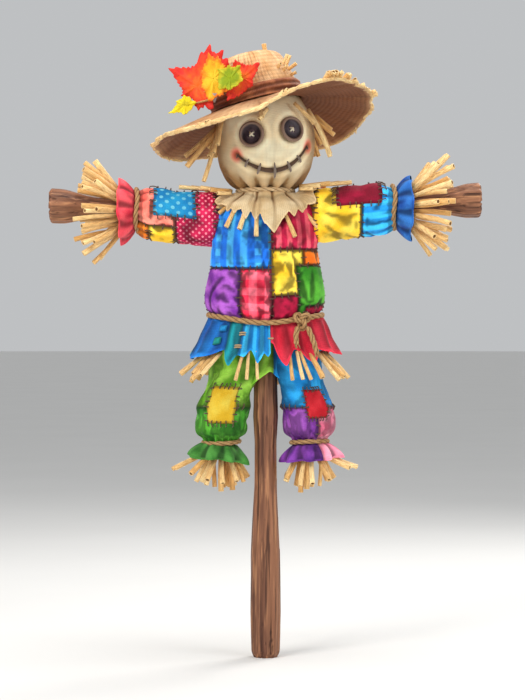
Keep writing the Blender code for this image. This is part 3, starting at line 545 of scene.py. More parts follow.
PALE_THREAD = thread_paint("pale_thread", (0.68, 0.58, 0.4), (0.9, 0.82, 0.64))
GREY_THREAD = thread_paint("grey_thread", (0.3, 0.27, 0.26), (0.48, 0.45, 0.43))
RED_LEAF = leaf_paint("red_leaf_cloth", (0.86, 0.15, 0.015), (0.82, 0.07, 0.018), (0.7, 0.026, 0.018))
YELLOW_LEAF = leaf_paint("yellow_leaf_cloth", (0.86, 0.56, 0.025), (0.86, 0.48, 0.018), (0.84, 0.19, 0.012))
GREEN_LEAF = leaf_paint("green_leaf_cloth", (0.3, 0.4, 0.01), (0.27, 0.37, 0.014), (0.56, 0.5, 0.02))
LEMON_LEAF = leaf_paint("lemon_leaf_cloth", (0.56, 0.46, 0.01), (0.86, 0.7, 0.015), (0.78, 0.64, 0.02))


# ---------------------------------------------------------------- pieces


def add_values(mesh, values):
    """Stores numbers on a mesh's points: {name: list}. A list of pairs becomes a place on the cloth."""
    for name, numbers in values.items():
        kind = "FLOAT_VECTOR" if name == "cloth" else "FLOAT"
        stored = mesh.attributes.new(name, kind, "POINT")
        data = np.array(numbers, np.float32)
        if kind == "FLOAT_VECTOR":
            data = np.pad(data, ((0, 0), (0, 3 - data.shape[1])))
        stored.data.foreach_set("vector" if kind == "FLOAT_VECTOR" else "value", data.ravel())


def make(name, points, faces, material, body, nodes=(), slot=None, values=None):
    """A smooth-shaded object that rides on a body and stands for its CAD nodes."""
    mesh = bpy.data.meshes.new(f"{name}_look")
    mesh.from_pydata([tuple(p) for p in points], [], faces)
    mesh.materials.append(material)
    mesh.shade_smooth()
    add_values(mesh, values or {})
    obj = bpy.data.objects.new(f"{name}_look" if nodes else name, mesh)
    bpy.context.scene.collection.objects.link(obj)
    if body:
        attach(obj, body)
    if nodes:
        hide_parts(*nodes)
    return obj


def thicken(obj, thickness, offset=-1):
    solid = obj.modifiers.new("Cloth thickness", "SOLIDIFY")
    solid.thickness, solid.offset = thickness, offset


def refine(obj):
    finer = obj.modifiers.new("Finer", "SUBSURF")
    finer.levels = finer.render_levels = 1


def grid_faces(rows, cols, wrap=True, flipped=False, first=0):
    """The faces between the rows of a grid of points, the points numbered from first."""
    faces = []
    for j in range(rows - 1):
        below, above = first + j * cols, first + (j + 1) * cols
        for i in range(cols if wrap else cols - 1):
            k = (i + 1) % cols
            face = (below + i, below + k, above + k, above + i)
            faces.append((face[0], face[3], face[2], face[1]) if flipped else face)
    return faces


class Shape:
    """Many small swept bodies gathered into one mesh."""

    def __init__(self):
        self.points, self.faces = [], []
        self.values = {"shade": [], "stain_and_shade": [], "cloth": []}

    def add(self, rings, shade=0.5, stain_and_shade=0.0, loop=False):
        """Adds a skin through rings; shade, and the darkening that holds both stains and painted shade, are
        each a number, or one for each ring or each point.
        """
        base, sides = len(self.points), len(rings[0])
        run = 0.0
        for number, ring in enumerate(rings):
            if number:
                run += (Vector(ring[0]) - Vector(rings[number - 1][0])).length
            for k, point in enumerate(ring):
                self.points.append(tuple(point))
                for key, given in (("shade", shade), ("stain_and_shade", stain_and_shade)):
                    value = given
                    if isinstance(given, list):
                        value = given[number]
                        if isinstance(value, list):
                            value = value[k]
                    self.values[key].append(value)
                self.values["cloth"].append((k / sides * 0.015 + base * 0.0137, run, 0))
        self.faces += grid_faces(len(rings), sides, first=base)
        last = base + (len(rings) - 1) * sides
        if loop:
            turned = [(k, (k + 1) % sides) for k in range(sides)]
            self.faces += [(last + k, last + n, base + n, base + k) for k, n in turned]
        else:
            self.faces.append([base + k for k in reversed(range(sides))])
            self.faces.append([last + k for k in range(sides)])

    def make(self, name, material, body, slot=None, nodes=()):
        return make(name, self.points, self.faces, material, body, nodes, slot, self.values)

    def stand_for(self, node, material, body, slot):
        """Makes the piece that takes one CAD node's place, under its name."""
        self.make(node, material, body, slot, (node,))


def carried(path, axis=None, closed=False):
    """(point, normal, binormal) along a path: square to a fixed axis, or turned as little as possible."""
    frames, normal = [], None
    count = len(path)
    for i, point in enumerate(path):
        before = path[i - 1] if closed or i else point
        after = path[(i + 1) % count] if closed or i < count - 1 else point
        along = (Vector(after) - Vector(before)).normalized()
        if axis is not None:
            normal = Vector(axis).cross(along).normalized()
        else:
            start = normal or along.orthogonal()
            normal = (start - along * start.dot(along)).normalized()
        frames.append((Vector(point), normal, along.cross(normal)))
    return frames


def tube(shape, path, radii, sides=8, axis=None, closed=False, shade=0.5, stain_and_shade=0.0):
    rings = []
    for number, (point, normal, other) in enumerate(carried(path, axis, closed)):
        radius = radii[number] if isinstance(radii, list) else radii
        turns = [TAU * k / sides for k in range(sides)]
        rings.append([point + (normal * math.cos(t) + other * math.sin(t)) * radius for t in turns])
    shape.add(rings, shade, stain_and_shade, loop=closed)


def even(path, step, closed=False):
    """The same path with a point at every step of its length."""
    points = [Vector(p) for p in path] + ([Vector(path[0])] if closed else [])
    run = [0.0]
    for a, b in zip(points, points[1:]):
        run.append(run[-1] + (b - a).length)
    count = max(4, round(run[-1] / step))
    wanted = [run[-1] * i / count for i in range(count + (0 if closed else 1))]
    parts = [np.interp(wanted, run, [p[axis] for p in points]) for axis in range(3)]
    return [Vector(place) for place in zip(*parts)]


def rope(shape, path, radius, axis=None, closed=False, lay=0.0085, strands=3, sides=18):
    """A laid cord: round strands that turn about the path."""
    path = even(path, radius * 0.34, closed)
    count = len(path)
    length = sum((path[i] - path[i - 1]).length for i in range(1, count))
    turns = round(length / lay) / strands
    rings, shades = [], []
    for number, (point, normal, other) in enumerate(carried(path, axis, closed)):
        twist = TAU * turns * number / (count if closed else count - 1)
        end = 1.0
        if not closed:
            end = min(1.0, 0.55 + min(number, count - 1 - number) * 0.25)
        ring, tones = [], []
        for k in range(sides):
            turn = TAU * k / sides
            lobe = abs(math.cos(strands / 2 * (turn - twist)))
            reach = radius * end * (0.7 + 0.32 * lobe)
            ring.append(point + (normal * math.cos(turn) + other * math.sin(turn)) * reach)
            # the lobe is stored as the cord's shade: low in the lay between the strands, which the cord's
            # paint darkens as shade
            tones.append(lobe)
        rings.append(ring)
        shades.append(tones)
    shape.add(rings, shades, loop=closed)


def fray(shape, tip, along, radius, rng, count=9, length=0.006):
    """Loose fibres at a cut cord end."""
    along = Vector(along).normalized()
    for _ in range(count):
        side = Vector([rng.uniform(-1, 1) for _ in range(3)])
        side -= along * side.dot(along)
        start = Vector(tip) + side * radius * 0.6 - along * 0.001
        end = start + along * length * rng.uniform(0.5, 1.0) + side * length * 0.35
        tube(shape, [start, (start + end) / 2 + side * 0.0004, end], [0.0005, 0.0004, 0.0002], 5, shade=0.9)


def stem(shape, root, tip, rng, radius=STRAW_R, bow=0.05, stain_and_shade=0.55):
    """One cut straw: a little bowed, ridged along its length, with a hollow end; its root end and the inside
    of the hollow end are painted darker as shade.
    """
    root, tip = Vector(root), Vector(tip)
    run = tip - root
    side = run.cross(Vector([rng.uniform(-1, 1) for _ in range(3)])).normalized()
    bend = rng.uniform(-bow, bow) * run.length
    steps = 6
    path = [root + run * (i / steps) + side * bend * math.sin(math.pi * i / steps) for i in range(steps + 1)]
    sides = 9
    radius *= rng.uniform(0.88, 1.12)
    ridge = [1 + rng.uniform(-0.1, 0.1) for _ in range(sides)]
    rings = []
    for number, (point, normal, other) in enumerate(carried(path)):
        size = radius * mix(0.84, 1.03, number / steps)
        turns = [TAU * k / sides for k in range(sides)]
        ways = [normal * math.cos(t) + other * math.sin(t) for t in turns]
        rings.append([point + way * size * r for way, r in zip(ways, ridge)])
    centre = path[-1]
    way = run.normalized()
    for share, depth in ((0.78, -0.0003), (0.6, 0.0002), (0.52, 0.0012)):
        rings.append([centre + (Vector(p) - centre) * share - way * depth for p in rings[steps]])
    tones = [rng.random()] * (steps + 1) + [1.0, 0.4, 0.0]
    # painted shade at the root end, fading out along the stem, then in the hollow end, darkest at its bottom
    painted_ring_shade = [stain_and_shade * max(0.0, 1 - 2.2 * n / steps) for n in range(steps + 1)] + [0.05, 0.5, 0.9]
    shape.add(rings, tones, painted_ring_shade)


def bind(node, material, body, around, radius, axis, count=60, lay=0.0085):
    """A closed cord tied round something; around gives its line from the node's middle at each angle."""
    centre = mid(node)
    cord = Shape()
    loop = [centre + Vector(around(t)) for t in np.linspace(0, TAU, count)[:-1]]
    rope(cord, loop, radius, axis=axis, closed=True, lay=lay)
    cord.stand_for(node, material, body, "jute_rope")


def on_hat(angle, radius, z):
    """A point about the hat's own axis, in the row frame: angle 0 is the wearer's left (+X)."""
    return HAT_AT + HAT_SIDE * (radius * math.cos(angle)) + HAT_BACK * (radius * math.sin(angle)) + HAT_UP * z


# ---------------------------------------------------------------- sewn cloth


CLOTH_SETTINGS = {
    "quality": 5,
    "mass": 0.12,
    "tension_stiffness": 12,
    "compression_stiffness": 12,
    "shear_stiffness": 6,
    "bending_stiffness": 0.08,
    "vertex_group_mass": "sewn",
    "use_pressure": True,
}
SEAM_WIDTH = 0.0045  # how far from a seam its shade reaches
HOLLOW_DEPTH = 0.0009  # the depth of a full hollow


def inflate(obj, pinned, pressure, grow, limit, frames=20):
    """Lets the filling push the cloth out between its seams: a cloth simulation, applied to the mesh."""
    mesh = obj.data
    rest = np.array([v.co for v in mesh.vertices])
    group = obj.vertex_groups.new(name="sewn")
    group.add(pinned, 1.0, "REPLACE")
    modifier = obj.modifiers.new("Cloth", "CLOTH")
    for key, value in CLOTH_SETTINGS.items():
        setattr(modifier.settings, key, value)
    modifier.settings.shrink_min = -grow
    modifier.settings.uniform_pressure_force = pressure
    modifier.settings.effector_weights.gravity = 0
    modifier.point_cache.frame_end = frames
    for number in range(1, frames + 1):
        bpy.context.scene.frame_set(number)
    graph = bpy.context.evaluated_depsgraph_get()
    moved = np.array([v.co for v in obj.evaluated_get(graph).data.vertices])
    obj.modifiers.remove(modifier)
    obj.vertex_groups.remove(group)
    step = np.nan_to_num(moved - rest)
    length = np.linalg.norm(step, axis=1, keepdims=True)
    step *= np.minimum(1.0, limit / np.maximum(length, 1e-9))
    mesh.vertices.foreach_set("co", (rest + step).ravel())
    mesh.update()
    bpy.context.scene.frame_set(1)


class Quilt:
    """A cloth surface on a grid of places (u, v), cut into panels whose joins are sewn seams."""

    def __init__(
        self,
        name,
        body,
        nodes,
        surface,
        size,
        panel,
        slot,
        wrap=True,
        groove=0.0011,
        puff=0.001,
        stuff=None,
        thick=0.0,
    ):
        """surface and panel take (u, v); a panel is (its mark, its cotton); stuff is how to inflate it."""
        self.name, self.body, self.wrap = name, body, wrap
        self.rows, self.cols = size
        self.across = self.cols if wrap else self.cols - 1
        ends, sides = self.rows - 1, self.across
        points = [Vector(surface(i / sides, j / ends)) for j in range(self.rows) for i in range(self.cols)]
        cells = [(j, i) for j in range(ends) for i in range(sides)]
        self.tags = {(j, i): panel((i + 0.5) / sides, (j + 0.5) / ends) for j, i in cells}
        cloths = [cloth for _, cloth in self.tags.values()]
        seam = self.seam_points()
        near = self.distances(points, seam)
        values = {"cloth": self.places(points), "seam": [smooth(d / SEAM_WIDTH) for d in near]}
        faces = grid_faces(self.rows, self.cols, wrap)
        self.obj = make(name, points, faces, COTTONS[cloths[0]], body, nodes, slot, values)
        self.paint(cloths)
        self.shape_seams(seam, near, groove, puff)
        if stuff:
            hems = {self.at(j, i) for j in (0, ends) for i in range(self.cols)}
            inflate(self.obj, sorted(seam | hems), *stuff)
        self.grid = [v.co.copy() for v in self.obj.data.vertices]
        self.obj.data.update()
        add_values(self.obj.data, {"hollow": self.hollows(thick > 0)})
        self.normals = [n.vector.copy() for n in self.obj.data.vertex_normals]
        if thick:
            thicken(self.obj, thick)
        refine(self.obj)

    def at(self, j, i):
        return j * self.cols + i

    def hollows(self, rim, reach=3):
        """How far each point lies under the cloth about it: positive in folds, negative on ridges."""
        points = np.array(self.grid).reshape(self.rows, self.cols, 3)
        padded = np.pad(points, ((reach, reach), (0, 0), (0, 0)), "edge")
        padded = np.pad(padded, ((0, 0), (reach, reach), (0, 0)), "wrap" if self.wrap else "edge")
        window = range(2 * reach + 1)
        about = sum(padded[j : j + self.rows, i : i + self.cols] for j in window for i in window)
        mean = about / len(window) ** 2
        normals = np.array([n.vector for n in self.obj.data.vertex_normals]).reshape(points.shape)
        depth = ((mean - points) * normals).sum(axis=2)
        depth[:reach] = depth[-reach:] = 0
        if not self.wrap:
            depth[:, :reach] = depth[:, -reach:] = 0
        depth = (depth - np.median(depth)) / HOLLOW_DEPTH
        # along a hem the last rows count as ridges, so the cotton paints them lighter: a painted highlight on
        # the rim
        if rim:
            depth[-3:] -= np.array([0.2, 0.6, 0.9])[:, None]
        return depth.ravel()

    def paint(self, cloths):
        mesh = self.obj.data
        mesh.materials.clear()
        names = sorted(set(cloths))
        for cloth in names:
            mesh.materials.append(COTTONS[cloth])
        mesh.polygons.foreach_set("material_index", [names.index(c) for c in cloths])

    def tag(self, j, i):
        if self.wrap:
            i %= self.cols
        return self.tags.get((j, i))

    def seam_edges(self):
        """((j, i), upright) for every grid edge that lies between two panels."""
        found = []
        for j in range(self.rows):
            for i in range(self.cols):
                left, right = self.tag(j, i - 1), self.tag(j, i)
                if left and right and left != right:
                    found.append((j, i, True))
                below, above = self.tag(j - 1, i), self.tag(j, i)
                if below and above and below != above:
                    found.append((j, i, False))
        return found

    def seam_points(self):
        points = set()
        for j, i, upright in self.seam_edges():
            points.add(self.at(j, i))
            points.add(self.at(j + 1, i) if upright else self.at(j, (i + 1) % self.cols))
        return points

    def distances(self, points, seam):
        """How far each point is from the nearest seam, or a long way if there is none."""
        if not seam:
            return [1.0] * len(points)
        tree = KDTree(len(seam))
        for number, index in enumerate(sorted(seam)):
            tree.insert(points[index], number)
        tree.balance()
        return [tree.find(p)[2] for p in points]

    def places(self, points):
        """Where each point is on the flat cloth, in metres."""
        middle = self.rows // 2
        width, tall = [0.0], [0.0]
        for i in range(1, self.cols):
            width.append(width[-1] + (points[self.at(middle, i)] - points[self.at(middle, i - 1)]).length)
        for j in range(1, self.rows):
            tall.append(tall[-1] + (points[self.at(j, 0)] - points[self.at(j - 1, 0)]).length)
        return [(width[i], tall[j], 0) for j in range(self.rows) for i in range(self.cols)]

    def shape_seams(self, seam, near, groove, puff):
        mesh = self.obj.data
        normals = [n.vector.copy() for n in mesh.vertex_normals]
        for index, vertex in enumerate(mesh.vertices):
            lift = puff * (1 - math.exp(-near[index] / 0.004))
            vertex.co += normals[index] * ((-groove if index in seam else 0) + lift)

    def sample(self, u, v):
        """(point, normal) on the finished cloth at a place given as shares across and along."""
        x = u * self.across
        y = min(max(v, 0.0), 1.0) * (self.rows - 1)
        i, j = math.floor(x), min(math.floor(y), self.rows - 2)
        s, t = x - i, y - j
        found = []
        for source in (self.grid, self.normals):
            corners = []
            for dj in (0, 1):
                for di in (0, 1):
                    k = (i + di) % self.cols if self.wrap else min(max(i + di, 0), self.cols - 1)
                    corners.append(source[self.at(j + dj, k)])
            bottom = corners[0].lerp(corners[1], s)
            found.append(bottom.lerp(corners[2].lerp(corners[3], s), t))
        return found[0], found[1].normalized()

    def stitches(self, rng, skip=()):
        """Hand stitches across every third edge of each seam."""
        shape = Shape()
        for j, i, upright in self.seam_edges():
            if (j if upright else i) % 3 or (j, i) in skip:
                continue
            slant = rng.uniform(-0.4, 0.4)
            reach = rng.uniform(0.8, 1.35)
            u, v = i / self.across, j / (self.rows - 1)
            du, dv = reach / self.across, slant / (self.rows - 1)
            if not upright:
                u += 0.5 / self.across
                du, dv = slant / self.across, reach / (self.rows - 1)
            stitch(shape, self, (u, v), (du, dv), rng)
        shape.make(f"{self.name}_stitches", THREAD, self.body, "thread")


def stitch(shape, quilt, place, half_step, rng, radius=0.00058, lift=0.0003):
    """One thread over the cloth, its ends sunk in it."""
    path = []
    for share, rise in ((-1.0, -0.0006), (-0.8, lift), (0.0, lift * 1.2), (0.8, lift), (1.0, -0.0006)):
        point, normal = quilt.sample(place[0] + half_step[0] * share, place[1] + half_step[1] * share)
        path.append(point + normal * rise)
    tube(shape, path, radius * rng.uniform(0.85, 1.2), 6)


PATCH_THICK = 0.0012
PATCH_STITCHES = 6  # on each side


def overlay(name, quilt, u_range, v_range, cloth, nodes, rng, slot, count=22, sewn=True):
    """A patch laid over a quilt, its edge turned under and stitched down all round."""
    tilt = rng.uniform(-0.02, 0.02)

    def place(s, t):
        u = mix(*u_range, s) + tilt * (t - 0.5) * (u_range[1] - u_range[0])
        v = mix(*v_range, t) + tilt * 2 * (s - 0.5) * (v_range[1] - v_range[0])
        return u, v

    points, uv = [], []
    for j in range(count):
        for i in range(count):
            s, t = i / (count - 1), j / (count - 1)
            wob = 0.012 * rough((i, j, 0), 3.0, len(name))
            point, normal = quilt.sample(*place(s + wob * (0 < i < count - 1), t + wob))
            edge = min(s, 1 - s, t, 1 - t)
            lift = 0.0009 + 0.0013 * smooth(edge / 0.1) + 0.0004 * rough((i, j, 1), 4.0, 3)
            points.append(point + normal * lift)
            uv.append((s * 0.035, t * 0.035, 0))
    for _ in range(14):
        laid = np.array(points).reshape(count, count, 3)
        beside = laid[:-2, 1:-1] + laid[2:, 1:-1] + laid[1:-1, :-2] + laid[1:-1, 2:]
        laid[1:-1, 1:-1] = (beside + 2 * laid[1:-1, 1:-1]) / 6
        points = [Vector(p) for p in laid.reshape(-1, 3)]
    cells = [(j, i) for j in range(count) for i in range(count)]
    # the seam value falls to 0 at the patch's edge, where the cotton paints shade along the turned-under edge
    edges = [smooth(min(i, j, count - 1 - i, count - 1 - j) / 2.5) for j, i in cells]
    values = {"cloth": uv, "seam": edges, "hollow": [0.0] * len(points)}
    faces = grid_faces(count, count, wrap=False)
    obj = make(name, points, faces, COTTONS[cloth], quilt.body, nodes, slot, values)
    thicken(obj, PATCH_THICK)
    refine(obj)
    shape = Shape()
    for k in range(PATCH_STITCHES):
        at = (k + 0.5) / PATCH_STITCHES + rng.uniform(-0.03, 0.03)
        for s, t, ds, dt in ((at, 0, 0, 1), (at, 1, 0, 1), (0, at, 1, 0), (1, at, 1, 0)):
            slant = rng.uniform(-0.02, 0.02)
            start = np.array(place(s - ds * 0.085 + dt * slant, t - dt * 0.085 + ds * slant))
            end = np.array(place(s + ds * 0.085, t + dt * 0.085))
            stitch(shape, quilt, (start + end) / 2, (end - start) / 2, rng, 0.00056, 0.0019)
    if sewn:
        shape.make(f"{name}_stitches", THREAD, quilt.body, "thread")
    return obj


SQUARENESS = 2.3  # the power of the body's ovals: 2 is an ellipse


def front(x, wide, deep):
    """The share round an oval body at which its front surface reaches x; 0.5 is the front centre."""
    share = min(1.0, abs(x) / wide)
    y = deep * (1 - share**SQUARENESS) ** (1 / SQUARENESS)
    return 0.5 + math.atan2(x, y) / TAU


# ---------------------------------------------------------------- torso and skirt

SHIRT_LOW, SHIRT_HIGH = BELT_Z - 0.0015, high("shirt_body").z - 0.0045
SHIRT_WIDE, SHIRT_DEEP = half("shirt_body").x * 0.968, half("shirt_body").y * 0.975
# share up the shirt, then its half width and half depth as shares of SHIRT_WIDE and SHIRT_DEEP
SHIRT_SHAPE = (
    (0.0, 0.89, 0.88),
    (0.03, 0.915, 0.905),
    (0.09, 0.985, 0.985),
    (0.2, 1.01, 1.01),
    (0.4, 0.955, 0.98),
    (0.6, 0.905, 0.94),
    (0.78, 0.885, 0.87),
    (0.9, 0.865, 0.78),
    (0.97, 0.76, 0.62),
    (1.0, 0.5, 0.4),
)


def sag(angle):
    """How the belt rides up over the hips and hangs in front and behind."""
    return -0.004 * math.cos(2 * angle) + 0.0014


def crease(point, size, seed):
    """Sharp folds that wander over the cloth: 0 on the cloth, down to -1 along a fold."""
    return -max(0.0, 1 - abs(rough(point, size, seed)) * 5)


def oval(angle, half_x, half_y, power=SQUARENESS):
    """A point of a squarish oval; angle 0 is the front and grows towards +X."""
    s, c = math.sin(angle), math.cos(angle)
    reach = (abs(s / half_x) ** power + abs(c / half_y) ** power) ** (-1 / power)
    return Vector((reach * s, -reach * c, 0))


def shirt_surface(u, v):
    angle = TAU * (u - 0.5)
    wide, deep = curve(SHIRT_SHAPE, v)
    z = mix(SHIRT_LOW, SHIRT_HIGH, v)
    point = oval(angle, SHIRT_WIDE * wide, SHIRT_DEEP * deep)
    out = point.normalized()
    over_belt = math.exp(-(z - SHIRT_LOW) / 0.018)
    gather = (math.cos(13 * angle + 2.2 * math.sin(3 * angle)) + 0.5 * math.cos(27 * angle)) * over_belt
    drape = rough((point.x, point.y, z * 0.45), 0.022, 2)
    fold = crease((point.x + z * 0.35, point.y, z * 0.5), 0.034, 12)
    lift = 0.0019 * gather + 0.0014 * drape + 0.0013 * fold
    return point + out * lift + Vector((0, 0, z + sag(angle) * (1 - v) ** 3))


def shirt_v(z):
    return (z - SHIRT_LOW) / (SHIRT_HIGH - SHIRT_LOW)


def shirt():
    """The stuffed body of the shirt, in patchwork round its front and back."""
    seam, blue_pink, orange_edge, green_edge = [
        front(x, SHIRT_WIDE, SHIRT_DEEP) for x in (0.0068, -0.0268, 0.0392, 0.0335)
    ]
    mid_low, mid_high = 0.3865, 0.407
    right, left, bottom, top = 0.245, 0.755, 0.0, 1.0  # the side seams; the hem and the shoulders in metres
    panels = (
        ((right, seam, mid_low, top), "blue_stripe"),
        ((right, blue_pink, bottom, mid_low), "purple"),
        ((blue_pink, seam, bottom, mid_low), "pink_check"),
        ((seam, left, mid_high, top), "crimson_stripe"),
        ((seam, orange_edge, 0.39, mid_high), "yellow"),
        ((seam, green_edge, 0.362, 0.39), "yellow"),
        ((seam, green_edge, bottom, 0.362), "crimson"),
        ((orange_edge, left, 0.39, mid_high), "orange"),
        ((green_edge, left, 0.348, 0.39), "green"),
        ((orange_edge, left, bottom, 0.347), "crimson"),
        ((0.0, 0.13, 0.395, top), "yellow"),
        ((0.13, right, 0.38, top), "teal"),
        ((0.0, 0.13, 0.36, 0.395), "crimson_dots"),
        ((0.13, right, bottom, 0.38), "orange"),
        ((0.0, 0.13, bottom, 0.36), "sky"),
        ((left, 0.88, 0.405, top), "purple"),
        ((left, 0.88, 0.368, 0.405), "blue_dots"),
        ((left, 0.88, bottom, 0.368), "yellow"),
        ((0.88, 1.001, 0.385, top), "red"),
    )

    def panel(u, v):
        """The first panel that holds the place, or the green cloth under them all."""
        for (u0, u1, z0, z1), cloth in panels:
            if u0 <= u < u1 and shirt_v(z0) <= v < shirt_v(z1):
                return cloth, cloth
        return "green", "green"

    nodes = ("shirt_body", "torso_stuffing")
    stuff = (5.0, 0.05, 0.0035)
    body = Quilt(nodes[0], "frame", nodes, shirt_surface, (47, 124), panel, "blue_cotton", stuff=stuff)
    body.stitches(random.Random(3))
    return body


# the skirt's ragged hem: degrees from the front, and how far down it reaches as a share of SKIRT_LENGTH
BLUE_HEM = (
    (-180, 0.36), (-168, 0.88), (-158, 0.5), (-147, 0.95), (-136, 0.48), (-126, 0.78), (-114, 0.5),
    (-100, 0.88), (-90, 0.985), (-76, 0.93), (-62.6, 0.87), (-52.4, 0.76), (-46.8, 0.66), (-45.2, 0.88),
    (-41.5, 1.0), (-38, 1.0), (-35.3, 0.89), (-32, 0.74), (-23.5, 0.77), (-17.6, 0.58), (-9.8, 0.9),
    (-4.5, 0.76), (-1.2, 0.64), (3.8, 0.75), (8, 0.6),
)
RED_HEM = (
    (5, 0.42), (9, 0.44), (11, 0.48), (14.2, 0.63), (18, 0.82), (22.5, 0.98), (28, 0.8), (35.7, 0.62),
    (39, 0.68), (44, 0.78), (50, 0.92), (55.4, 1.0), (58, 0.84), (60.7, 0.7), (66, 0.76), (74, 0.81),
    (90, 0.88), (101, 0.56), (112, 0.96), (123, 0.58), (133, 0.86), (144, 0.52), (156, 0.94), (167, 0.6),
    (180, 0.8),
)
BLUE_TURN, RED_TURN = (-180, 186.5), (7, 173)
SKIRT_TOP = high("right_skirt").z + 0.003
SKIRT_LENGTH = SKIRT_TOP - low("right_skirt").z
SKIRT_WIDE, SKIRT_DEEP = half("shirt_body").x * 0.92, half("shirt_body").y * 0.91


def skirt(name, turn, hem, panel, slot):
    """One half of the shirt's tail; turn is its first angle and how far it goes on, in degrees."""
    flare_x, flare_y = max(abs(low(name).x), abs(high(name).x)), half(name).y

    def surface(u, v):
        degrees = turn[0] + turn[1] * u
        angle = math.radians(degrees)
        drop = v * zigzag(hem, degrees) * SKIRT_LENGTH
        share = drop / SKIRT_LENGTH
        grow = share**0.85 * (1 - 0.36 * bell(degrees - 40, 24))
        point = oval(angle, mix(SKIRT_WIDE, flare_x, grow), mix(SKIRT_DEEP, flare_y, grow), 2.15)
        wave = math.cos(11 * angle + 1.4 * math.sin(4 * angle + 1)) * 0.0026 * share
        pleat = math.cos(23 * angle + 2) * 0.0011 + 0.0012 * rough((point.x, point.y, drop), 0.014, 3)
        curl = 0.003 * smooth((share - 0.55) / 0.5)
        z = SKIRT_TOP + sag(angle) - drop
        return point + point.normalized() * (wave + pleat + curl) + Vector((0, 0, z))

    size = (24, 130)
    piece = Quilt(
        name, "frame", (name,), surface, size, panel, slot, wrap=False, thick=0.0011, groove=0.0005, puff=0.0
    )
    mesh_out(piece)
    return piece


def lashing(shape, piece, hem, turn, middle, z):
    """A level stitch of cord across a join; turn is the skirt's first angle and how far it goes on."""
    line = []
    for share, lift in ((-1.0, -0.0006), (-0.7, 0.0011), (0.0, 0.0016), (0.7, 0.0011), (1.0, -0.0006)):
        degrees = middle + 3.6 * share
        v = (SKIRT_TOP + sag(math.radians(degrees)) - z) / (zigzag(hem, degrees) * SKIRT_LENGTH)
        point, normal = piece.sample((degrees - turn[0]) / turn[1], v)
        line.append(point + normal * lift)
    tube(shape, line, 0.0008, 7)


def skirts():
    """The shirt's tail: a blue half and a red half, lashed together in front."""
    rng = random.Random(11)

    def blue(u, v):
        degrees = BLUE_TURN[0] + BLUE_TURN[1] * u
        if -47 < degrees < -31:
            return 1, "teal"
        if -96 > degrees > -140:
            return 2, "blue_dots"
        return (3, "sky_stripe") if degrees > -31 else (4, "blue")

    def red(u, v):
        degrees = RED_TURN[0] + RED_TURN[1] * u
        return (1, "scarlet") if degrees < 118 else (2, "crimson")

    right = skirt("right_skirt", BLUE_TURN, BLUE_HEM, blue, "blue_cotton")
    left = skirt("left_skirt", RED_TURN, RED_HEM, red, "red_cotton")

    for number, (degrees, size, rows, cloth) in enumerate(
        ((-52, 3.2, (0.22, 0.4), "sky"), (-55, 3.6, (0.56, 0.76), "jade"))
    ):
        columns = [(edge - BLUE_TURN[0]) / BLUE_TURN[1] for edge in (degrees - size, degrees + size)]
        name = f"right_skirt_patch_{number}"
        overlay(name, right, columns, rows, cloth, (), rng, "blue_cotton", 10, sewn=False)
    ties = Shape()
    for degrees, z in ((-29.5, 0.323), (-32.5, 0.3105), (-140, 0.318)):
        for row in (-0.001, 0.001):
            lashing(ties, right, BLUE_HEM, BLUE_TURN, degrees, z + row)
    lashing(ties, left, RED_HEM, RED_TURN, 118, 0.316)
    ends = [right.sample(u, 0.44)[0] for u in (0.985, 0.998)]
    ends += [left.sample(u, 0.42)[0] for u in (0.012, 0.05)]
    nearest = min(p.y for p in ends) - 0.0012
    ys = (ends[0].y + 0.001, nearest, nearest, ends[3].y + 0.001)
    tube(ties, [Vector((p.x, y, 0.3185)) for p, y in zip(ends, ys)], 0.001, 7)
    ties.make("skirt_ties", TAN_THREAD, "frame", "thread")


# ---------------------------------------------------------------- arms

# share along the sleeve, and its radius as a share of the CAD sleeve's
SLEEVE_SHAPE = (
    (0.0, 0.8), (0.08, 0.85), (0.16, 0.92), (0.3, 0.95), (0.5, 0.94), (0.75, 0.93), (0.88, 0.9),
    (0.95, 0.8), (1.0, 0.7),
)
ARM_DROP = {"right": 0.0062, "left": 0.0042}
SLEEVE_ROOT = 0.03  # how far from the middle the sleeves start, inside the shirt
ARMHOLE = 0.05  # and where the seam is that sets them in


def sleeve_axis(name):
    """The centres of a sleeve's two ends."""
    side = SIDES[name]
    wrist = mid(f"{name}_wrist_rope")
    root_z = mid(f"{name}_sleeve").z - ARM_DROP[name]
    return Vector((side * SLEEVE_ROOT, 0, root_z)), Vector((wrist.x, 0, wrist.z - ARM_DROP[name] / 3))


def sleeve(name, panel, slot, rng):
    side = SIDES[name]
    start, end = sleeve_axis(name)
    radius = half(f"{name}_sleeve").y

    def surface(u, v):
        angle = -side * TAU * (u - 0.5)
        reach = radius * curve(SLEEVE_SHAPE, v)[0]
        centre = start.lerp(end, v)
        centre.z -= 0.0012 * math.sin(math.pi * v)
        wrist = math.cos(15 * angle + 1.5 * math.sin(2 * angle)) * math.exp(-(1 - v) / 0.13)
        pit = math.cos(9 * angle) * math.exp(-abs(v - 0.2) / 0.1)
        place = (v * 0.07, math.cos(angle) * 0.03, math.sin(angle) * 0.03)
        slack = rough(place, 0.014, side)
        fold = crease((place[0], place[1] + v * 0.03, place[2]), 0.026, 7 + side)
        reach += 0.0019 * wrist + 0.0012 * pit + 0.0016 * slack + 0.0013 * fold
        inside = smooth((abs(centre.x) - 0.043) / 0.012)
        return centre + Vector((0, -math.cos(angle) * mix(0.62, 1.0, inside), math.sin(angle))) * reach

    nodes = (f"{name}_sleeve", f"{name}_sleeve_stuffing")
    piece = Quilt(nodes[0], "frame", nodes, surface, (34, 64), panel, slot, stuff=(5.0, 0.05, 0.0028))
    piece.stitches(rng)
    return piece


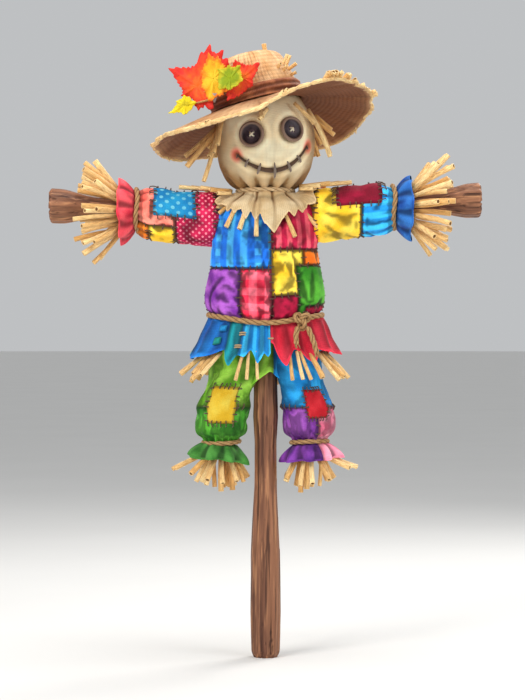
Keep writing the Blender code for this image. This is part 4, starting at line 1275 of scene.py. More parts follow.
def arm_panels(name):
    """The panel function of a sleeve, by distance from the body and height round the arm."""
    side = SIDES[name]
    start, end = sleeve_axis(name)

    def find(u, v):
        x = abs(mix(start.x, end.x, v))
        degrees = -side * 360 * (u - 0.5)
        back = abs(degrees) > 105
        if name == "right":
            if back:
                return (5, "green") if x < 0.078 else (6, "yellow")
            if x < 0.0895:
                return 1, "crimson_dots"
            if degrees < -26:
                return (2, "yellow") if x < 0.117 else (4, "orange")
            return 3, "salmon"
        if back:
            return (5, "pink_check") if x < 0.08 else (6, "green")
        if x < 0.096:
            return 1, "yellow"
        return 2, "sky_stripe"

    return find


def armhole_stitches(name, arm, rng):
    """Stitches round the seam where a sleeve is set into the shirt."""
    shape = Shape()
    start, end = sleeve_axis(name)
    seam = (ARMHOLE - SLEEVE_ROOT) / abs(end.x - start.x)
    count = 30
    for k in range(count):
        u = (k + rng.uniform(-0.25, 0.25)) / count
        half_step = (rng.uniform(-0.008, 0.008), rng.uniform(0.024, 0.036))
        stitch(shape, arm, (u, seam), half_step, rng, 0.0006, 0.0007)
    shape.make(f"{name}_armhole_stitches", THREAD, "frame", "thread")


def frill(name, body, centre, axis, radii, length, panel, slot, rng, depth):
    """A gathered frill that flares from a tie, with a torn, wavy edge; axis points the way it opens."""
    waves = 8
    axis = Vector(axis).normalized()
    first = Vector((0, -1, 0)) if abs(axis.y) < 0.9 else Vector((0, 0, 1))
    second = axis.cross(first)
    phase = rng.uniform(0, TAU)
    teeth = [rng.uniform(0.86, 1.05) for _ in range(waves * 2)]

    def surface(u, v):
        angle = TAU * (u - 0.5)
        fold = math.cos(waves * angle + phase + 0.7 * math.sin(2 * angle))
        ring = (u * waves * 2) % (waves * 2)
        here, there = teeth[int(ring)], teeth[(int(ring) + 1) % (waves * 2)]
        reach = length * mix(here, there, smooth(ring % 1)) * v
        open_share = math.sin(min(1.0, v * 1.06) * math.pi / 2) ** 0.9
        out = mix(*radii, open_share) + depth * fold * v
        out += 0.0008 * math.cos(2 * waves * angle) * (1 - v)
        way = first * math.cos(angle) + second * math.sin(angle)
        return Vector(centre) + way * out + axis * reach

    Quilt(name, body, (name,), surface, (20, 96), panel, slot, thick=0.0011, groove=0.0004, puff=0.0)


ArmLook = namedtuple("ArmLook", "slot cuff cuff_slot patch patch_slot patch_reach patch_turn")
ARM_LOOKS = {
    "right": ArmLook(
        "red_cotton",
        ("coral", "red"),
        "red_cotton",
        "blue_dots",
        "blue_cotton",
        (0.069, 0.1115),
        (-3, 74),
    ),
    "left": ArmLook(
        "yellow_cotton",
        ("deep_blue", "navy"),
        "blue_cotton",
        "crimson",
        "red_cotton",
        (0.07, 0.1155),
        (14, 84),
    ),
}
CUFF_SHARE = 0.72  # the cuff's length as a share of the CAD cuff's
WRIST_CORD_R, ANKLE_CORD_R = 0.0214, 0.018
TIE_R = 0.0024  # the thickness of the cords at the wrists and ankles, as a radius


def arms(body):
    """Each arm: sleeve, patch, cuff, the cord at the wrist, and its straw."""
    for name, side in SIDES.items():
        rng = random.Random(20 + side)
        look = ARM_LOOKS[name]
        arm = sleeve(name, arm_panels(name), look.slot, rng)
        armhole_stitches(name, arm, rng)
        start, end = sleeve_axis(name)
        us = sorted(0.5 - side * degrees / 360 for degrees in look.patch_turn)
        vs = [(x - abs(start.x)) / abs(end.x - start.x) for x in look.patch_reach]
        patch = f"{name}_sleeve_patch"
        overlay(patch, arm, us, vs, look.patch, (patch,), rng, look.patch_slot)
        wrist = mid(f"{name}_wrist_rope")
        foot = (wrist.x + side * 0.002, 0, wrist.z - 0.0012)
        cuff = f"{name}_cuff"
        length = (high(cuff).x - low(cuff).x) * CUFF_SHARE

        def cuff_panel(u, v):
            return (1, look.cuff[0]) if 0.22 < u < 0.8 else (2, look.cuff[1])

        radii = (0.0192, 0.0312)
        frill(cuff, "frame", foot, (side, 0, 0), radii, length, cuff_panel, look.cuff_slot, rng, 0.0032)
        bind(
            f"{name}_wrist_rope",
            CORD,
            "frame",
            lambda t: (0.001 * math.sin(3 * t), -WRIST_CORD_R * math.cos(t), WRIST_CORD_R * math.sin(t)),
            TIE_R,
            (1, 0, 0),
        )
        hand_straw(name, side, rng)
        shoulder_straw(name, side, body, rng)


def hand_straw(name, side, rng):
    """Three rings of straw that burst out of the cuff round the bar."""
    node = f"{name}_hand_straw"
    centre = Vector((mid(f"{name}_cuff").x, 0, mid(f"{name}_cuff").z))
    reach = max(abs(low(node).x), abs(high(node).x)) - abs(centre.x)
    spread = half(node).z
    shape = Shape()
    for count, turn0, out, far in ((15, 0.1, 1.0, 0.93), (12, 0.35, 0.62, 1.0), (9, 0.2, 1.02, 0.62)):
        for k in range(count):
            turn = TAU * (k + turn0 + rng.uniform(-0.22, 0.22)) / count
            way = Vector((0, -math.cos(turn), math.sin(turn)))
            root = centre + way * rng.uniform(0.015, 0.0185)
            tip_out = spread * out * rng.uniform(0.8, 1.06)
            tip = centre + Vector((side * reach * far * rng.uniform(0.78, 1.02), 0, 0)) + way * tip_out
            stem(shape, root, tip, rng, STRAW_R * rng.uniform(0.9, 1.15))
    shape.stand_for(node, STRAW, "frame", "straw")


# stems on a shoulder: how far out and back the root is, the length, the turn, and how high it lies
SPRIGS = (
    (0.034, -0.008, 0.052, 0.05, 0.4),
    (0.034, -0.014, 0.032, -0.35, -0.8),
    (0.033, 0.004, 0.041, 0.2, 0),
    (0.036, -0.019, 0.022, -0.6, -3.5),
    (0.038, -0.003, 0.036, -0.1, 0),
    (0.036, 0.013, 0.028, 0.5, -1.5),
    (0.034, -0.022, 0.018, -0.75, -7.0),
    (0.034, 0.02, 0.022, 0.75, -5.0),
)
# stems that hang from under the collar: x and z of the root, x and z of the tip
CHEST_STRAW = {
    "right": (
        (-0.029, 0.448, -0.033, 0.427),
        (-0.019, 0.446, -0.0215, 0.4245),
        (-0.008, 0.444, -0.0078, 0.4185),
        (-0.04, 0.455, -0.048, 0.444),
        (-0.036, 0.452, -0.043, 0.44),
    ),
    "left": (
        (0.017, 0.445, 0.024, 0.4185),
        (0.033, 0.453, 0.047, 0.4275),
        (0.045, 0.458, 0.054, 0.442),
    ),
}


def shoulder_straw(name, side, body, rng):
    """Sprigs on top of the shoulder, and stems that hang from under the collar on this side of the chest."""
    node = f"{name}_shoulder_straw"
    shape = Shape()
    start, end = sleeve_axis(name)
    top = (start.z + end.z) / 2 + half(f"{name}_sleeve").y * 0.94 + 0.003
    for x, y, reach, turn, rise in SPRIGS:
        root = Vector((side * x, y, top - 0.003 + rise * 0.0005))
        away = reach * math.sin(turn) * 0.5
        tip = Vector((side * (x + reach * math.cos(turn)), y + away, top + 0.0005 + rise * 0.001))
        stem(shape, root, tip, rng, STRAW_R * 0.85, 0.02, stain_and_shade=0.2)
    for root_x, root_z, tip_x, tip_z in CHEST_STRAW[name]:
        ends = []
        for x, z, lift in ((root_x, root_z, 0.0025), (tip_x, tip_z, 0.0042)):
            point, normal = body.sample(front(x, SHIRT_WIDE * 0.93, SHIRT_DEEP * 0.8), shirt_v(z))
            ends.append(point + normal * lift)
        stem(shape, ends[0], ends[1], rng, STRAW_R * 0.92, 0.02, stain_and_shade=0.3)
    shape.stand_for(node, STRAW, "frame", "straw")


# ---------------------------------------------------------------- collar, belt and waist straw

COLLAR_TIP = 11.6  # where its longest point hangs, in degrees
# degrees from the front, and how far above the floor the hem ends there, in millimetres
COLLAR_HEM = (
    (-180, 436), (-169, 427), (-158, 443), (-147, 431), (-136, 446), (-125, 435), (-114, 451), (-103, 445),
    (-95, 456), (-86, 449), (-80, 456), (-73, 447), (-68, 453), (-59, 437), (-52, 449), (-46, 433),
    (-37, 446), (-28, 437.5), (-21, 441.5), (-14.5, 435), (-8, 437), (11.6, 422), (26, 440), (31, 438),
    (37, 441), (43, 431), (49.5, 445), (57, 435), (64, 447), (70, 444), (76, 453), (84, 448), (93, 456),
    (102, 446), (113, 451), (124, 435), (135, 446), (146, 431), (157, 443), (168, 428), (180, 436),
)
# what holds the collar up, as in SHIRT_SHAPE, but a little above the shirt as well
COLLAR_REST = (
    (0.0, 0.89, 0.88), (0.2, 1.01, 1.01), (0.6, 0.905, 0.94), (0.78, 0.9, 0.93), (0.9, 0.92, 0.88),
    (0.97, 0.87, 0.79), (1.0, 0.78, 0.69), (1.055, 0.5, 0.5),
)
SUPPORT_V = np.linspace(0, COLLAR_REST[-1][0], 80)
SUPPORT = np.array([curve(COLLAR_REST, v) for v in SUPPORT_V])
ARM_ENDS = {name: sleeve_axis(name) for name in SIDES}
ARM_V = np.linspace(0, 1, 40)
ARM_REACH = np.array([curve(SLEEVE_SHAPE, v)[0] for v in ARM_V]) * half("right_sleeve").y


def held_up(x, y, z, margin):
    """True inside the stuffed shirt or a sleeve, or nearer to them than the margin."""
    v = shirt_v(z)
    if v < SUPPORT_V[-1]:
        wide = SHIRT_WIDE * float(np.interp(v, SUPPORT_V, SUPPORT[:, 0])) + margin
        deep = SHIRT_DEEP * float(np.interp(v, SUPPORT_V, SUPPORT[:, 1])) + margin
        if abs(x / wide) ** SQUARENESS + abs(y / deep) ** SQUARENESS < 1:
            return True
    start, end = ARM_ENDS["right" if x < 0 else "left"]
    share = (abs(x) - SLEEVE_ROOT) / abs(end.x - start.x)
    if not 0 < share < 1:
        return False
    reach = float(np.interp(share, ARM_V, ARM_REACH)) + margin
    return math.hypot(y, z - mix(start.z, end.z, share)) < reach


def drape(angle, count, step=0.001, margin=0.0048):
    """The line cloth follows from under the neck cord: down where it can, out over what holds it up."""
    sideways, ahead = math.sin(angle), -math.cos(angle)
    out, z, slope = 0.027, 0.4642, 0.1
    line = [(out, z)]
    for _ in range(count - 1):
        for turn in np.arange(-1.45, 0.75, 0.1):
            if turn < slope - 0.32:
                continue
            new_out, new_z = out + step * math.cos(turn), z + step * math.sin(turn)
            if not held_up(sideways * new_out, ahead * new_out, new_z, margin):
                break
        slope, out, z = turn, new_out, new_z
        line.append((out, z))
    return line


def collar():
    """The sack's open hem, gathered under the neck cord and cut in points over the shoulders."""
    rows, cols, count, thrice = 24, 324, 56, 3
    few = cols // thrice
    coarse = np.array([drape(TAU * (i / few - 0.5), count) for i in range(few)])
    for _ in range(2):
        coarse = (np.roll(coarse, 1, axis=0) + 2 * coarse + np.roll(coarse, -1, axis=0)) / 4
    beside = np.roll(coarse, -1, axis=0)
    lines = [(coarse * (thrice - k) + beside * k) / thrice for k in range(thrice)]
    lines = np.stack(lines, axis=1).reshape(cols, count, 2)
    points, uv, stain_and_shade = [], [], []
    for j in range(rows):
        for i in range(cols):
            angle = TAU * (i / cols - 0.5)
            hem = zigzag(COLLAR_HEM, math.degrees(angle)) * 0.001
            from_tip = abs(math.degrees(angle) - COLLAR_TIP)
            longest = 32 + 22 * bell(from_tip, 11) - 1000 * max(0.0, hem - 0.44) ** 1.05
            heights = lines[i, :, 1]
            found = [
                k + (heights[k] - hem) / (heights[k] - heights[k + 1])
                for k in range(15, count - 1)
                if heights[k + 1] < hem <= heights[k]
            ]
            jag = 0.12 - 0.26 * abs((from_tip / 12.5 + 0.5) % 1 - 0.5) * 2
            tooth = 1 + jag * smooth((from_tip - 9) / 10)
            run = min(found[:1] + [longest]) * tooth * 0.001 * j / (rows - 1)
            out, z = [float(np.interp(run * 1000, range(count), lines[i, :, axis])) for axis in (0, 1)]
            wave = math.cos(11 * angle + 0.6 * math.sin(2 * angle) + 0.35)
            pleat = max(0.0, -wave) ** 7 * math.exp(-run / 0.02)
            dip = 0.0012 * wave * smooth(run / 0.005) * math.exp(-run / 0.03) - 0.0016 * pleat
            lift = 0.0014 * smooth((run - 0.012) / 0.02) * (1 + math.cos(9 * angle + 0.5)) * 0.5
            reach = out + 0.4 * dip + 0.7 * lift
            points.append((math.sin(angle) * reach, -math.cos(angle) * reach, z + 0.8 * dip + 0.7 * lift))
            uv.append((angle * 0.036, run, 0))
            # painted shade in the pleats, under the neck cord and towards the sides and back, over a slight
            # even darkening
            dark = 0.12 + 1.3 * pleat + 0.55 * math.exp(-run / 0.004)
            stain_and_shade.append(min(0.95, dark + 0.25 * smooth(abs(angle) - 0.9)))
    faces = grid_faces(rows, cols, flipped=True)
    values = {"cloth": uv, "stain_and_shade": stain_and_shade}
    obj = make("sack_collar", points, faces, SACK, "frame", ("sack_collar",), "sackcloth", values)
    thicken(obj, 0.001)


def belt():
    """The cord round the waist, its knot and its two hanging ends."""
    cord = Shape()
    knot = mid("belt_knot")
    wide, deep = half("belt_rope").x - 0.003, half("belt_rope").y - 0.0015
    loop = []
    for k in range(120):
        angle = TAU * k / 120
        point = oval(angle, wide, deep)
        loop.append(point + Vector((0, 0, BELT_Z + sag(angle))))
    rope(cord, loop, 0.0028, axis=(0, 0, 1), closed=True, lay=0.0095)
    cord.stand_for("belt_rope", CORD, "frame", "jute_rope")
    tied = Shape()
    bight = []
    for k in range(64):
        t = TAU * k / 64
        x = math.sin(t) + 1.5 * math.sin(2 * t)
        z = math.cos(t) - 1.5 * math.cos(2 * t)
        bight.append(knot + Vector((x * 0.003, 0.0026 * math.sin(3 * t) + 0.0008, z * 0.0034)))
    rope(tied, bight, 0.0026, closed=True, lay=0.008)
    tied.stand_for("belt_knot", CORD, "frame", "jute_rope")
    tails = (
        ("short", low("belt_tail_short").x + 0.0025, -0.0008, -1),
        ("long", high("belt_tail_long").x - 0.0025, 0.0012, 1),
    )
    for number, (length, tip_x, tip_y, bow) in enumerate(tails):
        name = f"belt_tail_{length}"
        top = Vector(JOINTS[f"{length}_tail_swing"]["pos_m"])
        tip = Vector((tip_x, top.y + tip_y, low(name).z + 0.001))
        start = top + Vector((0, 0.001, 0.003))
        path = []
        for t in np.linspace(0, 1, 12):
            bend = math.sin(math.pi * t)
            path.append(start.lerp(tip, t) + Vector((0.001 * bend * bow, -0.0012 * bend, 0)))
        tail = Shape()
        rope(tail, path, 0.0027, axis=(0, 1, 0), lay=0.008)
        fray(tail, path[-1], path[-1] - path[-2], 0.0027, random.Random(number))
        tail.stand_for(name, CORD, name, "jute_rope")


# where the stems that hang in front start and end across the figure
HANGING = {
    "right": ((-0.0215, -0.0295), (-0.0165, -0.0185), (-0.0085, -0.0078)),
    "left": ((0.0235, 0.0265), (0.031, 0.037), (0.034, 0.045)),
}


# the clusters round the side and back: their angle, how many stems, how far apart, how far they stick out
WAIST_CLUSTERS = (
    (60, 2, 9.0, 1.0),
    (84, 3, 13.0, 1.1),
    (112, 3, 9.0, 0.8),
    (145, 3, 7.0, 0.3),
    (170, 2, 6.0, 0.2),
)


def waist_straw():
    """Clusters of straw that hang out from under the skirt."""
    for name, side in SIDES.items():
        node = f"{name}_waist_straw"
        rng = random.Random(40 + side)
        shape = Shape()
        wide, deep = 0.086, half(node).y
        root_z = mid(node).z + 0.013
        for root_x, tip_x in HANGING[name]:
            root_y = oval(math.asin(root_x / 0.0585), 0.0585, 0.0425).y
            tip = (tip_x, root_y - 0.0055, 0.278 + rng.uniform(-0.001, 0.001))
            stem(shape, (root_x, root_y, root_z), tip, rng, STRAW_R * 0.72, 0.03)
        for degrees, count, apart, sideways in WAIST_CLUSTERS:
            for k in range(count):
                angle = math.radians(degrees + (k - (count - 1) / 2) * apart + rng.uniform(-2, 2))
                root = oval(side * angle, 0.059, 0.0405) + Vector((0, 0, root_z - 0.001))
                out = mix(0.0075, 0.0245, sideways) * rng.uniform(0.72, 1.05)
                drop = mix(0.036, 0.027, sideways) * rng.uniform(0.8, 1.08)
                way = oval(side * angle, 1, 1).normalized()
                across = Vector((-way.y, way.x, 0)) * side
                tip = root + way * out + across * (k - (count - 1) / 2) * 0.0035 + Vector((0, 0, -drop))
                tip.x = max(-wide, min(wide, tip.x))
                tip.y = max(-deep, min(deep, tip.y))
                stem(shape, root, tip, rng, STRAW_R * rng.uniform(0.9, 1.12), 0.03)
        shape.stand_for(node, STRAW, "frame", "straw")


# ---------------------------------------------------------------- legs

LEG_TOP = BELT_Z - 0.011
LegLook = namedtuple("LegLook", "slot patch patch_slot patch_turn patch_height ruffle_lean lean")
LEG_LOOKS = {
    "right": LegLook("green_cotton", "yellow", "yellow_cotton", (-38, 29), (0.2705, 0.2345), -0.12, 0.0035),
    "left": LegLook("blue_cotton", "red", "red_cotton", (-4, 46), (0.268, 0.239), 0.06, 0.0045),
}


def leg_ring(name, z):
    """Inner x, outer x and half depth of a trouser leg at a height; x grows away from the pole."""
    ankle = mid(f"{name}_ankle_rope")
    rows = [
        (-LEG_TOP, -0.002, 0.056, 0.03),
        (-(HIP_Z + 0.012), -0.003, 0.059, 0.03),
        (-(HIP_Z - 0.008), -0.003, 0.06, 0.0285),
        (-(HIP_Z - 0.017), 0.001, 0.0605, 0.027),
        (-(HIP_Z - 0.027), 0.008, 0.0615, 0.0258),
        (-(HIP_Z - 0.04), 0.013, 0.0662, 0.025),
        (-(HIP_Z - 0.055), 0.0155, 0.0695, 0.0252),
        (-(HIP_Z - 0.068), 0.017, 0.0705, 0.025),
        (-(HIP_Z - 0.077), 0.02, 0.0675, 0.0225),
        (-(ankle.z + 0.0035), abs(ankle.x) - 0.0175, abs(ankle.x) + 0.0175, 0.017),
        (-(ankle.z - 0.0015), abs(ankle.x) - 0.0158, abs(ankle.x) + 0.0158, 0.0158),
    ]
    return curve(rows, -z)


def leg(name, panel):
    side = SIDES[name]
    bottom = mid(f"{name}_ankle_rope").z - 0.0012

    def surface(u, v):
        angle = TAU * (u - 0.5)
        z = mix(LEG_TOP, bottom, v)
        inner, outer, deep = leg_ring(name, z)
        inner += side * LEG_LOOKS[name].lean * smooth((z - (HIP_Z - 0.035)) / 0.02)
        centre = side * (inner + outer) / 2
        point = oval(angle, (outer - inner) / 2, deep, 2.15)
        tie = math.exp(-(z - bottom) / 0.015)
        gather = math.cos(15 * angle + 1.5 * math.sin(2 * angle + side)) * tie
        slack = rough((point.x, point.y, z * 0.7), 0.017, 5 + side)
        pull = math.cos(6 * angle + 60 * (z - HIP_Z)) * smooth((z - (HIP_Z - 0.045)) / 0.03)
        fold = crease((point.x + z * 0.4, point.y, z * 0.6), 0.026, 15 + side)
        point += point.normalized() * (0.0026 * gather + 0.0017 * slack + 0.0009 * pull + 0.0014 * fold)
        point.x += centre
        clear = POLE_CLEAR + 0.0015
        if abs(point.y) < clear:
            edge = math.sqrt(clear**2 - point.y**2)
            point.x = side * max(side * point.x, edge)
        point.z = z
        return point

    nodes = (f"{name}_trouser_leg", f"{name}_leg_stuffing")
    slot = LEG_LOOKS[name].slot
    piece = Quilt(nodes[0], None, nodes, surface, (44, 72), panel, slot, stuff=(4.0, 0.05, 0.0022))
    mesh_out(piece)
    return piece


def mesh_out(piece):
    """Turns the faces outwards where a grid was laid from top to bottom."""
    piece.obj.data.flip_normals()
    piece.normals = [-n for n in piece.normals]


def seat():
    """The trousers between the legs, round the pole: they end in an arch at the crotch."""

    def surface(u, v):
        angle = TAU * (u - 0.5)
        point = oval(angle, 0.0185, 0.0235, 2.0)
        fold = 0.001 * math.cos(9 * angle + 4 * v)
        low_z = 0.286 - 0.75 * abs(point.x - 0.0045)
        return point + point.normalized() * fold + Vector((0, 0, mix(LEG_TOP + 0.002, low_z, v)))

    def panel(u, v):
        return (1, "lime") if u < 0.55 else (2, "sky")

    name, slot = "trouser_waist", "green_cotton"
    relief = {"thick": 0.001, "groove": 0.0006, "puff": 0.0003}
    mesh_out(Quilt(name, "frame", (name,), surface, (20, 72), panel, slot, **relief))


def legs():
    """Each leg: trouser leg, knee patch, the cord at the ankle, ruffle and straw."""
    for name, side in SIDES.items():
        rng = random.Random(60 + side)
        bottom = mid(f"{name}_ankle_rope").z - 0.0012

        def v_at(z):
            return (LEG_TOP - z) / (LEG_TOP - bottom)

        def panel(u, v):
            degrees = 360 * (u - 0.5)
            if name == "right":
                if abs(degrees) > 118 and v > v_at(0.262):
                    return 3, "teal"
                return (2, "lime") if v < v_at(0.2494) else (1, "leaf_green")
            if v < v_at(0.251):
                return 1, "sky"
            if 19 < degrees < 150:
                return 2, "pink"
            return 3, "purple"

        look = LEG_LOOKS[name]
        piece = leg(name, panel)
        body = f"{name}_leg"
        piece.body = body
        # on the right leg the stitches show only in a strip beside its front
        hidden = [(j, i) for j, i, _ in piece.seam_edges() if side < 0 and not 0.55 < i / piece.across < 0.66]
        piece.stitches(rng, hidden)
        us = [0.5 + degrees / 360 for degrees in look.patch_turn]
        patch = f"{name}_knee_patch"
        vs = [v_at(z) for z in look.patch_height]
        laid = overlay(patch, piece, us, vs, look.patch, (patch,), rng, look.patch_slot)
        laid.data.flip_normals()
        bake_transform(piece.obj)
        ankle = mid(f"{name}_ankle_rope")
        bind(
            f"{name}_ankle_rope",
            CORD,
            body,
            lambda t: (ANKLE_CORD_R * math.sin(t), -ANKLE_CORD_R * math.cos(t), 0.0012 * math.sin(t + side)),
            TIE_R,
            (0, 0, 1),
        )

        def frill_panel(u, v):
            if side < 0:
                return 1, "moss"
            return (1, "pink") if 0.12 < u < 0.44 else (2, "plum")

        foot = ankle + Vector((side * 0.0012, 0, -0.001))
        way, radii = (look.ruffle_lean, 0, -1), (0.0158, 0.029)
        frill(f"{name}_ankle_ruffle", body, foot, way, radii, 0.0178, frill_panel, look.slot, rng, 0.0048)
        foot_straw(name, side, body, ankle, rng)


def foot_straw(name, side, body, ankle, rng):
    """A flat fan of straw under the frill: long and low on the outer side, steep in the middle."""
    node = f"{name}_foot_straw"
    shape = Shape()
    for count, out, deep in ((13, 1.0, 0.86), (8, 0.55, 1.0), (3, 0.2, 0.95)):
        for k in range(count):
            turn = TAU * (k + rng.uniform(-0.25, 0.25)) / count
            way = Vector((math.cos(turn), math.sin(turn), 0))
            outward = max(0.0, side * way.x)
            inward = max(0.0, -side * way.x)
            root = ankle + way * rng.uniform(0.0085, 0.0125) + Vector((0, 0, -0.01))
            reach = 0.03 * out * (1.0 + 0.72 * outward - 0.08 * inward) * rng.uniform(0.85, 1.04)
            drop = 0.052 * deep * (1 - 0.42 * outward * out - 0.15 * inward * out) * rng.uniform(0.88, 1.03)
            tip = ankle + way * reach + Vector((0, 0, -drop))
            stem(shape, root, tip, rng, STRAW_R * rng.uniform(0.92, 1.1), 0.03)
    shape.stand_for(node, STRAW, body, "straw")


# ---------------------------------------------------------------- head

# height above the head's centre, radius, both as shares of the head's radius
HEAD_SHAPE = (
    (-1.06, 0.5),
    (-0.975, 0.53),
    (-0.89, 0.68),
    (-0.78, 0.79),
    (-0.65, 0.87),
    (-0.5, 0.93),
    (-0.265, 0.98),
    (0.0, 1.0),
    (0.265, 0.99),
    (0.51, 0.943),
    (0.735, 0.857),
    (0.93, 0.68),
    (1.04, 0.42),
    (1.09, 0.15),
)
FACE_TURN = Matrix.Rotation(math.radians(-7.5), 3, "Y") @ Matrix.Rotation(math.radians(9), 3, "Z")
HEAD_AT = HEAD + Vector((0.0005, 0, 0))


def head_point(angle, height, lift=0.0):
    """A point of the sack's smooth form at an angle round the head and a height in head radii."""
    share = smooth(height * HEAD_R / 0.03)
    up = Vector((0, 0, 1)).lerp(HAT_UP, share).normalized()
    side_way = Vector((0, 1, 0)).cross(up).normalized()
    back_way = up.cross(side_way)
    radius = HEAD_R * curve(HEAD_SHAPE, height)[0] + lift
    centre = HEAD_AT + up * height * HEAD_R
    centre.x -= 0.0005 * smooth(-height / 0.9)
    return centre + side_way * math.sin(angle) * radius - back_way * math.cos(angle) * radius * 0.975


def face_way(sideways, up):
    """The outward direction at an angle sideways and up on the face, in degrees."""
    a, e = math.radians(sideways), math.radians(up)
    return FACE_TURN @ Vector((math.sin(a) * math.cos(e), -math.cos(a) * math.cos(e), math.sin(e)))


def smile_way(share):
    """The direction of a point of the smile: -1 is its right corner and 1 its left."""
    return face_way(49 * share, -38.5 + 24.5 * share * share)


def on_face(way, lift=0.0):
    """The point of the head's surface in a direction from its centre."""
    wanted = math.atan2(way.x, -way.y)
    angle, height = wanted, way.z
    for _ in range(8):
        point = head_point(angle, height)
        here = (point - HEAD_AT).normalized()
        height += way.z - here.z
        angle += wanted - math.atan2(here.x, -here.y)
    return point + way * lift


EYE_DROP = 0.0048  # the eyes sit this far under the CAD's
EYE_WAYS = {
    name: (mid(f"{name}_button_eye") - HEAD_AT - Vector((0, 0, EYE_DROP))).normalized() for name in SIDES
}


def head():
    """The stuffed sack: gathered at the neck, pressed in by the eyes and the smile, and painted with shade.
    """
    rows, cols = 92, 150
    eyes = [on_face(way) for way in EYE_WAYS.values()]
    smile = [on_face(smile_way(k / 30 - 1)) for k in range(61)]
    corners = [smile[0], smile[-1]]
    points, uv, stain_and_shade, blush = [], [], [], []
    bottom, top = HEAD_SHAPE[0][0], HEAD_SHAPE[-1][0]
    for j in range(rows):
        height = mix(bottom, top, j / (rows - 1))
        for i in range(cols):
            angle = TAU * (i / cols - 0.5)
            point = head_point(angle, height)
            out = (point - HEAD_AT).normalized()
            fall = (height - bottom) * HEAD_R
            pleats = math.cos(12 * angle + 1.2 * math.sin(2 * angle) + 0.6)
            fold = pleats * math.exp(-max(0.0, fall - 0.005) / 0.011) * smooth(fall / 0.005)
            eye = min((point - e).length for e in eyes)
            mouth = min((point - s).length for s in smile)
            press = 0.0018 * math.exp(-((eye / 0.0125) ** 4)) - 0.0008 * bell(eye - 0.0165, 0.004)
            press += 0.0015 * bell(mouth, 0.003) - 0.0006 * bell(mouth - 0.0065, 0.003)
            lump = 0.0009 * rough(point, 0.022, 7) + 0.0004 * rough(point, 0.009, 9)
            points.append(point + out * (0.0022 * fold + lump - press))
            uv.append((angle * HEAD_R, height * HEAD_R, 0))
            turned = abs(math.asin(math.sin((angle - 0.1) / 2))) * 2
            # painted shade: in the pleats and the gather at the neck, down the sides and back, round the
            # eyes, along the smile, under the chin and under the hat
            dark = smooth(-fold * 2.2 - 0.7) + 0.5 * math.exp(-fall / 0.004)
            dark += 0.8 * smooth((turned - 0.68) / 0.75)
            dark += 0.45 * smooth((0.0155 - eye) / 0.004) + 0.6 * bell(mouth, 0.0032)
            dark += 0.62 * smooth((-0.35 - height) / 0.6) + 0.6 * smooth((height - 0.42) / 0.45)
            stain_and_shade.append(min(0.92, dark))
            cheek = min((point - c).length for c in corners)
            blush.append(0.92 * smooth(1.5 - cheek / 0.0068))
    faces = grid_faces(rows, cols) + [[(rows - 1) * cols + i for i in range(cols)]]
    values = {"cloth": uv, "stain_and_shade": stain_and_shade, "blush": blush}
    make("head_sack", points, faces, FACE, "head", ("head_sack", "head_stuffing"), "sackcloth", values)


def neck_cord():
    reach = half("neck_rope").x - 0.0008

    def around(turn):
        return reach * math.sin(turn), -reach * math.cos(turn), 0.0004 * math.cos(2 * turn)

    bind("neck_rope", PALE_CORD, "head", around, 0.0025, (0, 0, 1), 80, 0.009)


def facing(point, out):
    """The frame at a point whose z looks out and whose y is as near upright as can be."""
    across = Vector((0, 0, 1)).cross(out).normalized()
    turn = Matrix((across, out.cross(across), out)).transposed().to_4x4()
    return Matrix.Translation(point) @ turn


# a round button's profile from its back, over its rim and into its dish: height, and share of its radius
BUTTON_SHAPE = (
    (0.0, 0.9), (0.0004, 0.96), (0.0012, 1.0), (0.0024, 1.0), (0.0033, 0.97), (0.0038, 0.915),
    (0.0039, 0.86), (0.0036, 0.8), (0.0028, 0.755), (0.002, 0.725), (0.0016, 0.67), (0.0015, 0.4),
)


BUTTON_R = 0.0129
BUTTON_HOLE = 0.003  # how far the holes are from the middle
THREAD_RISE = (0.0002, 0.0022, 0.0027, 0.0029, 0.0027, 0.0022, 0.0002)  # of a strand between two holes


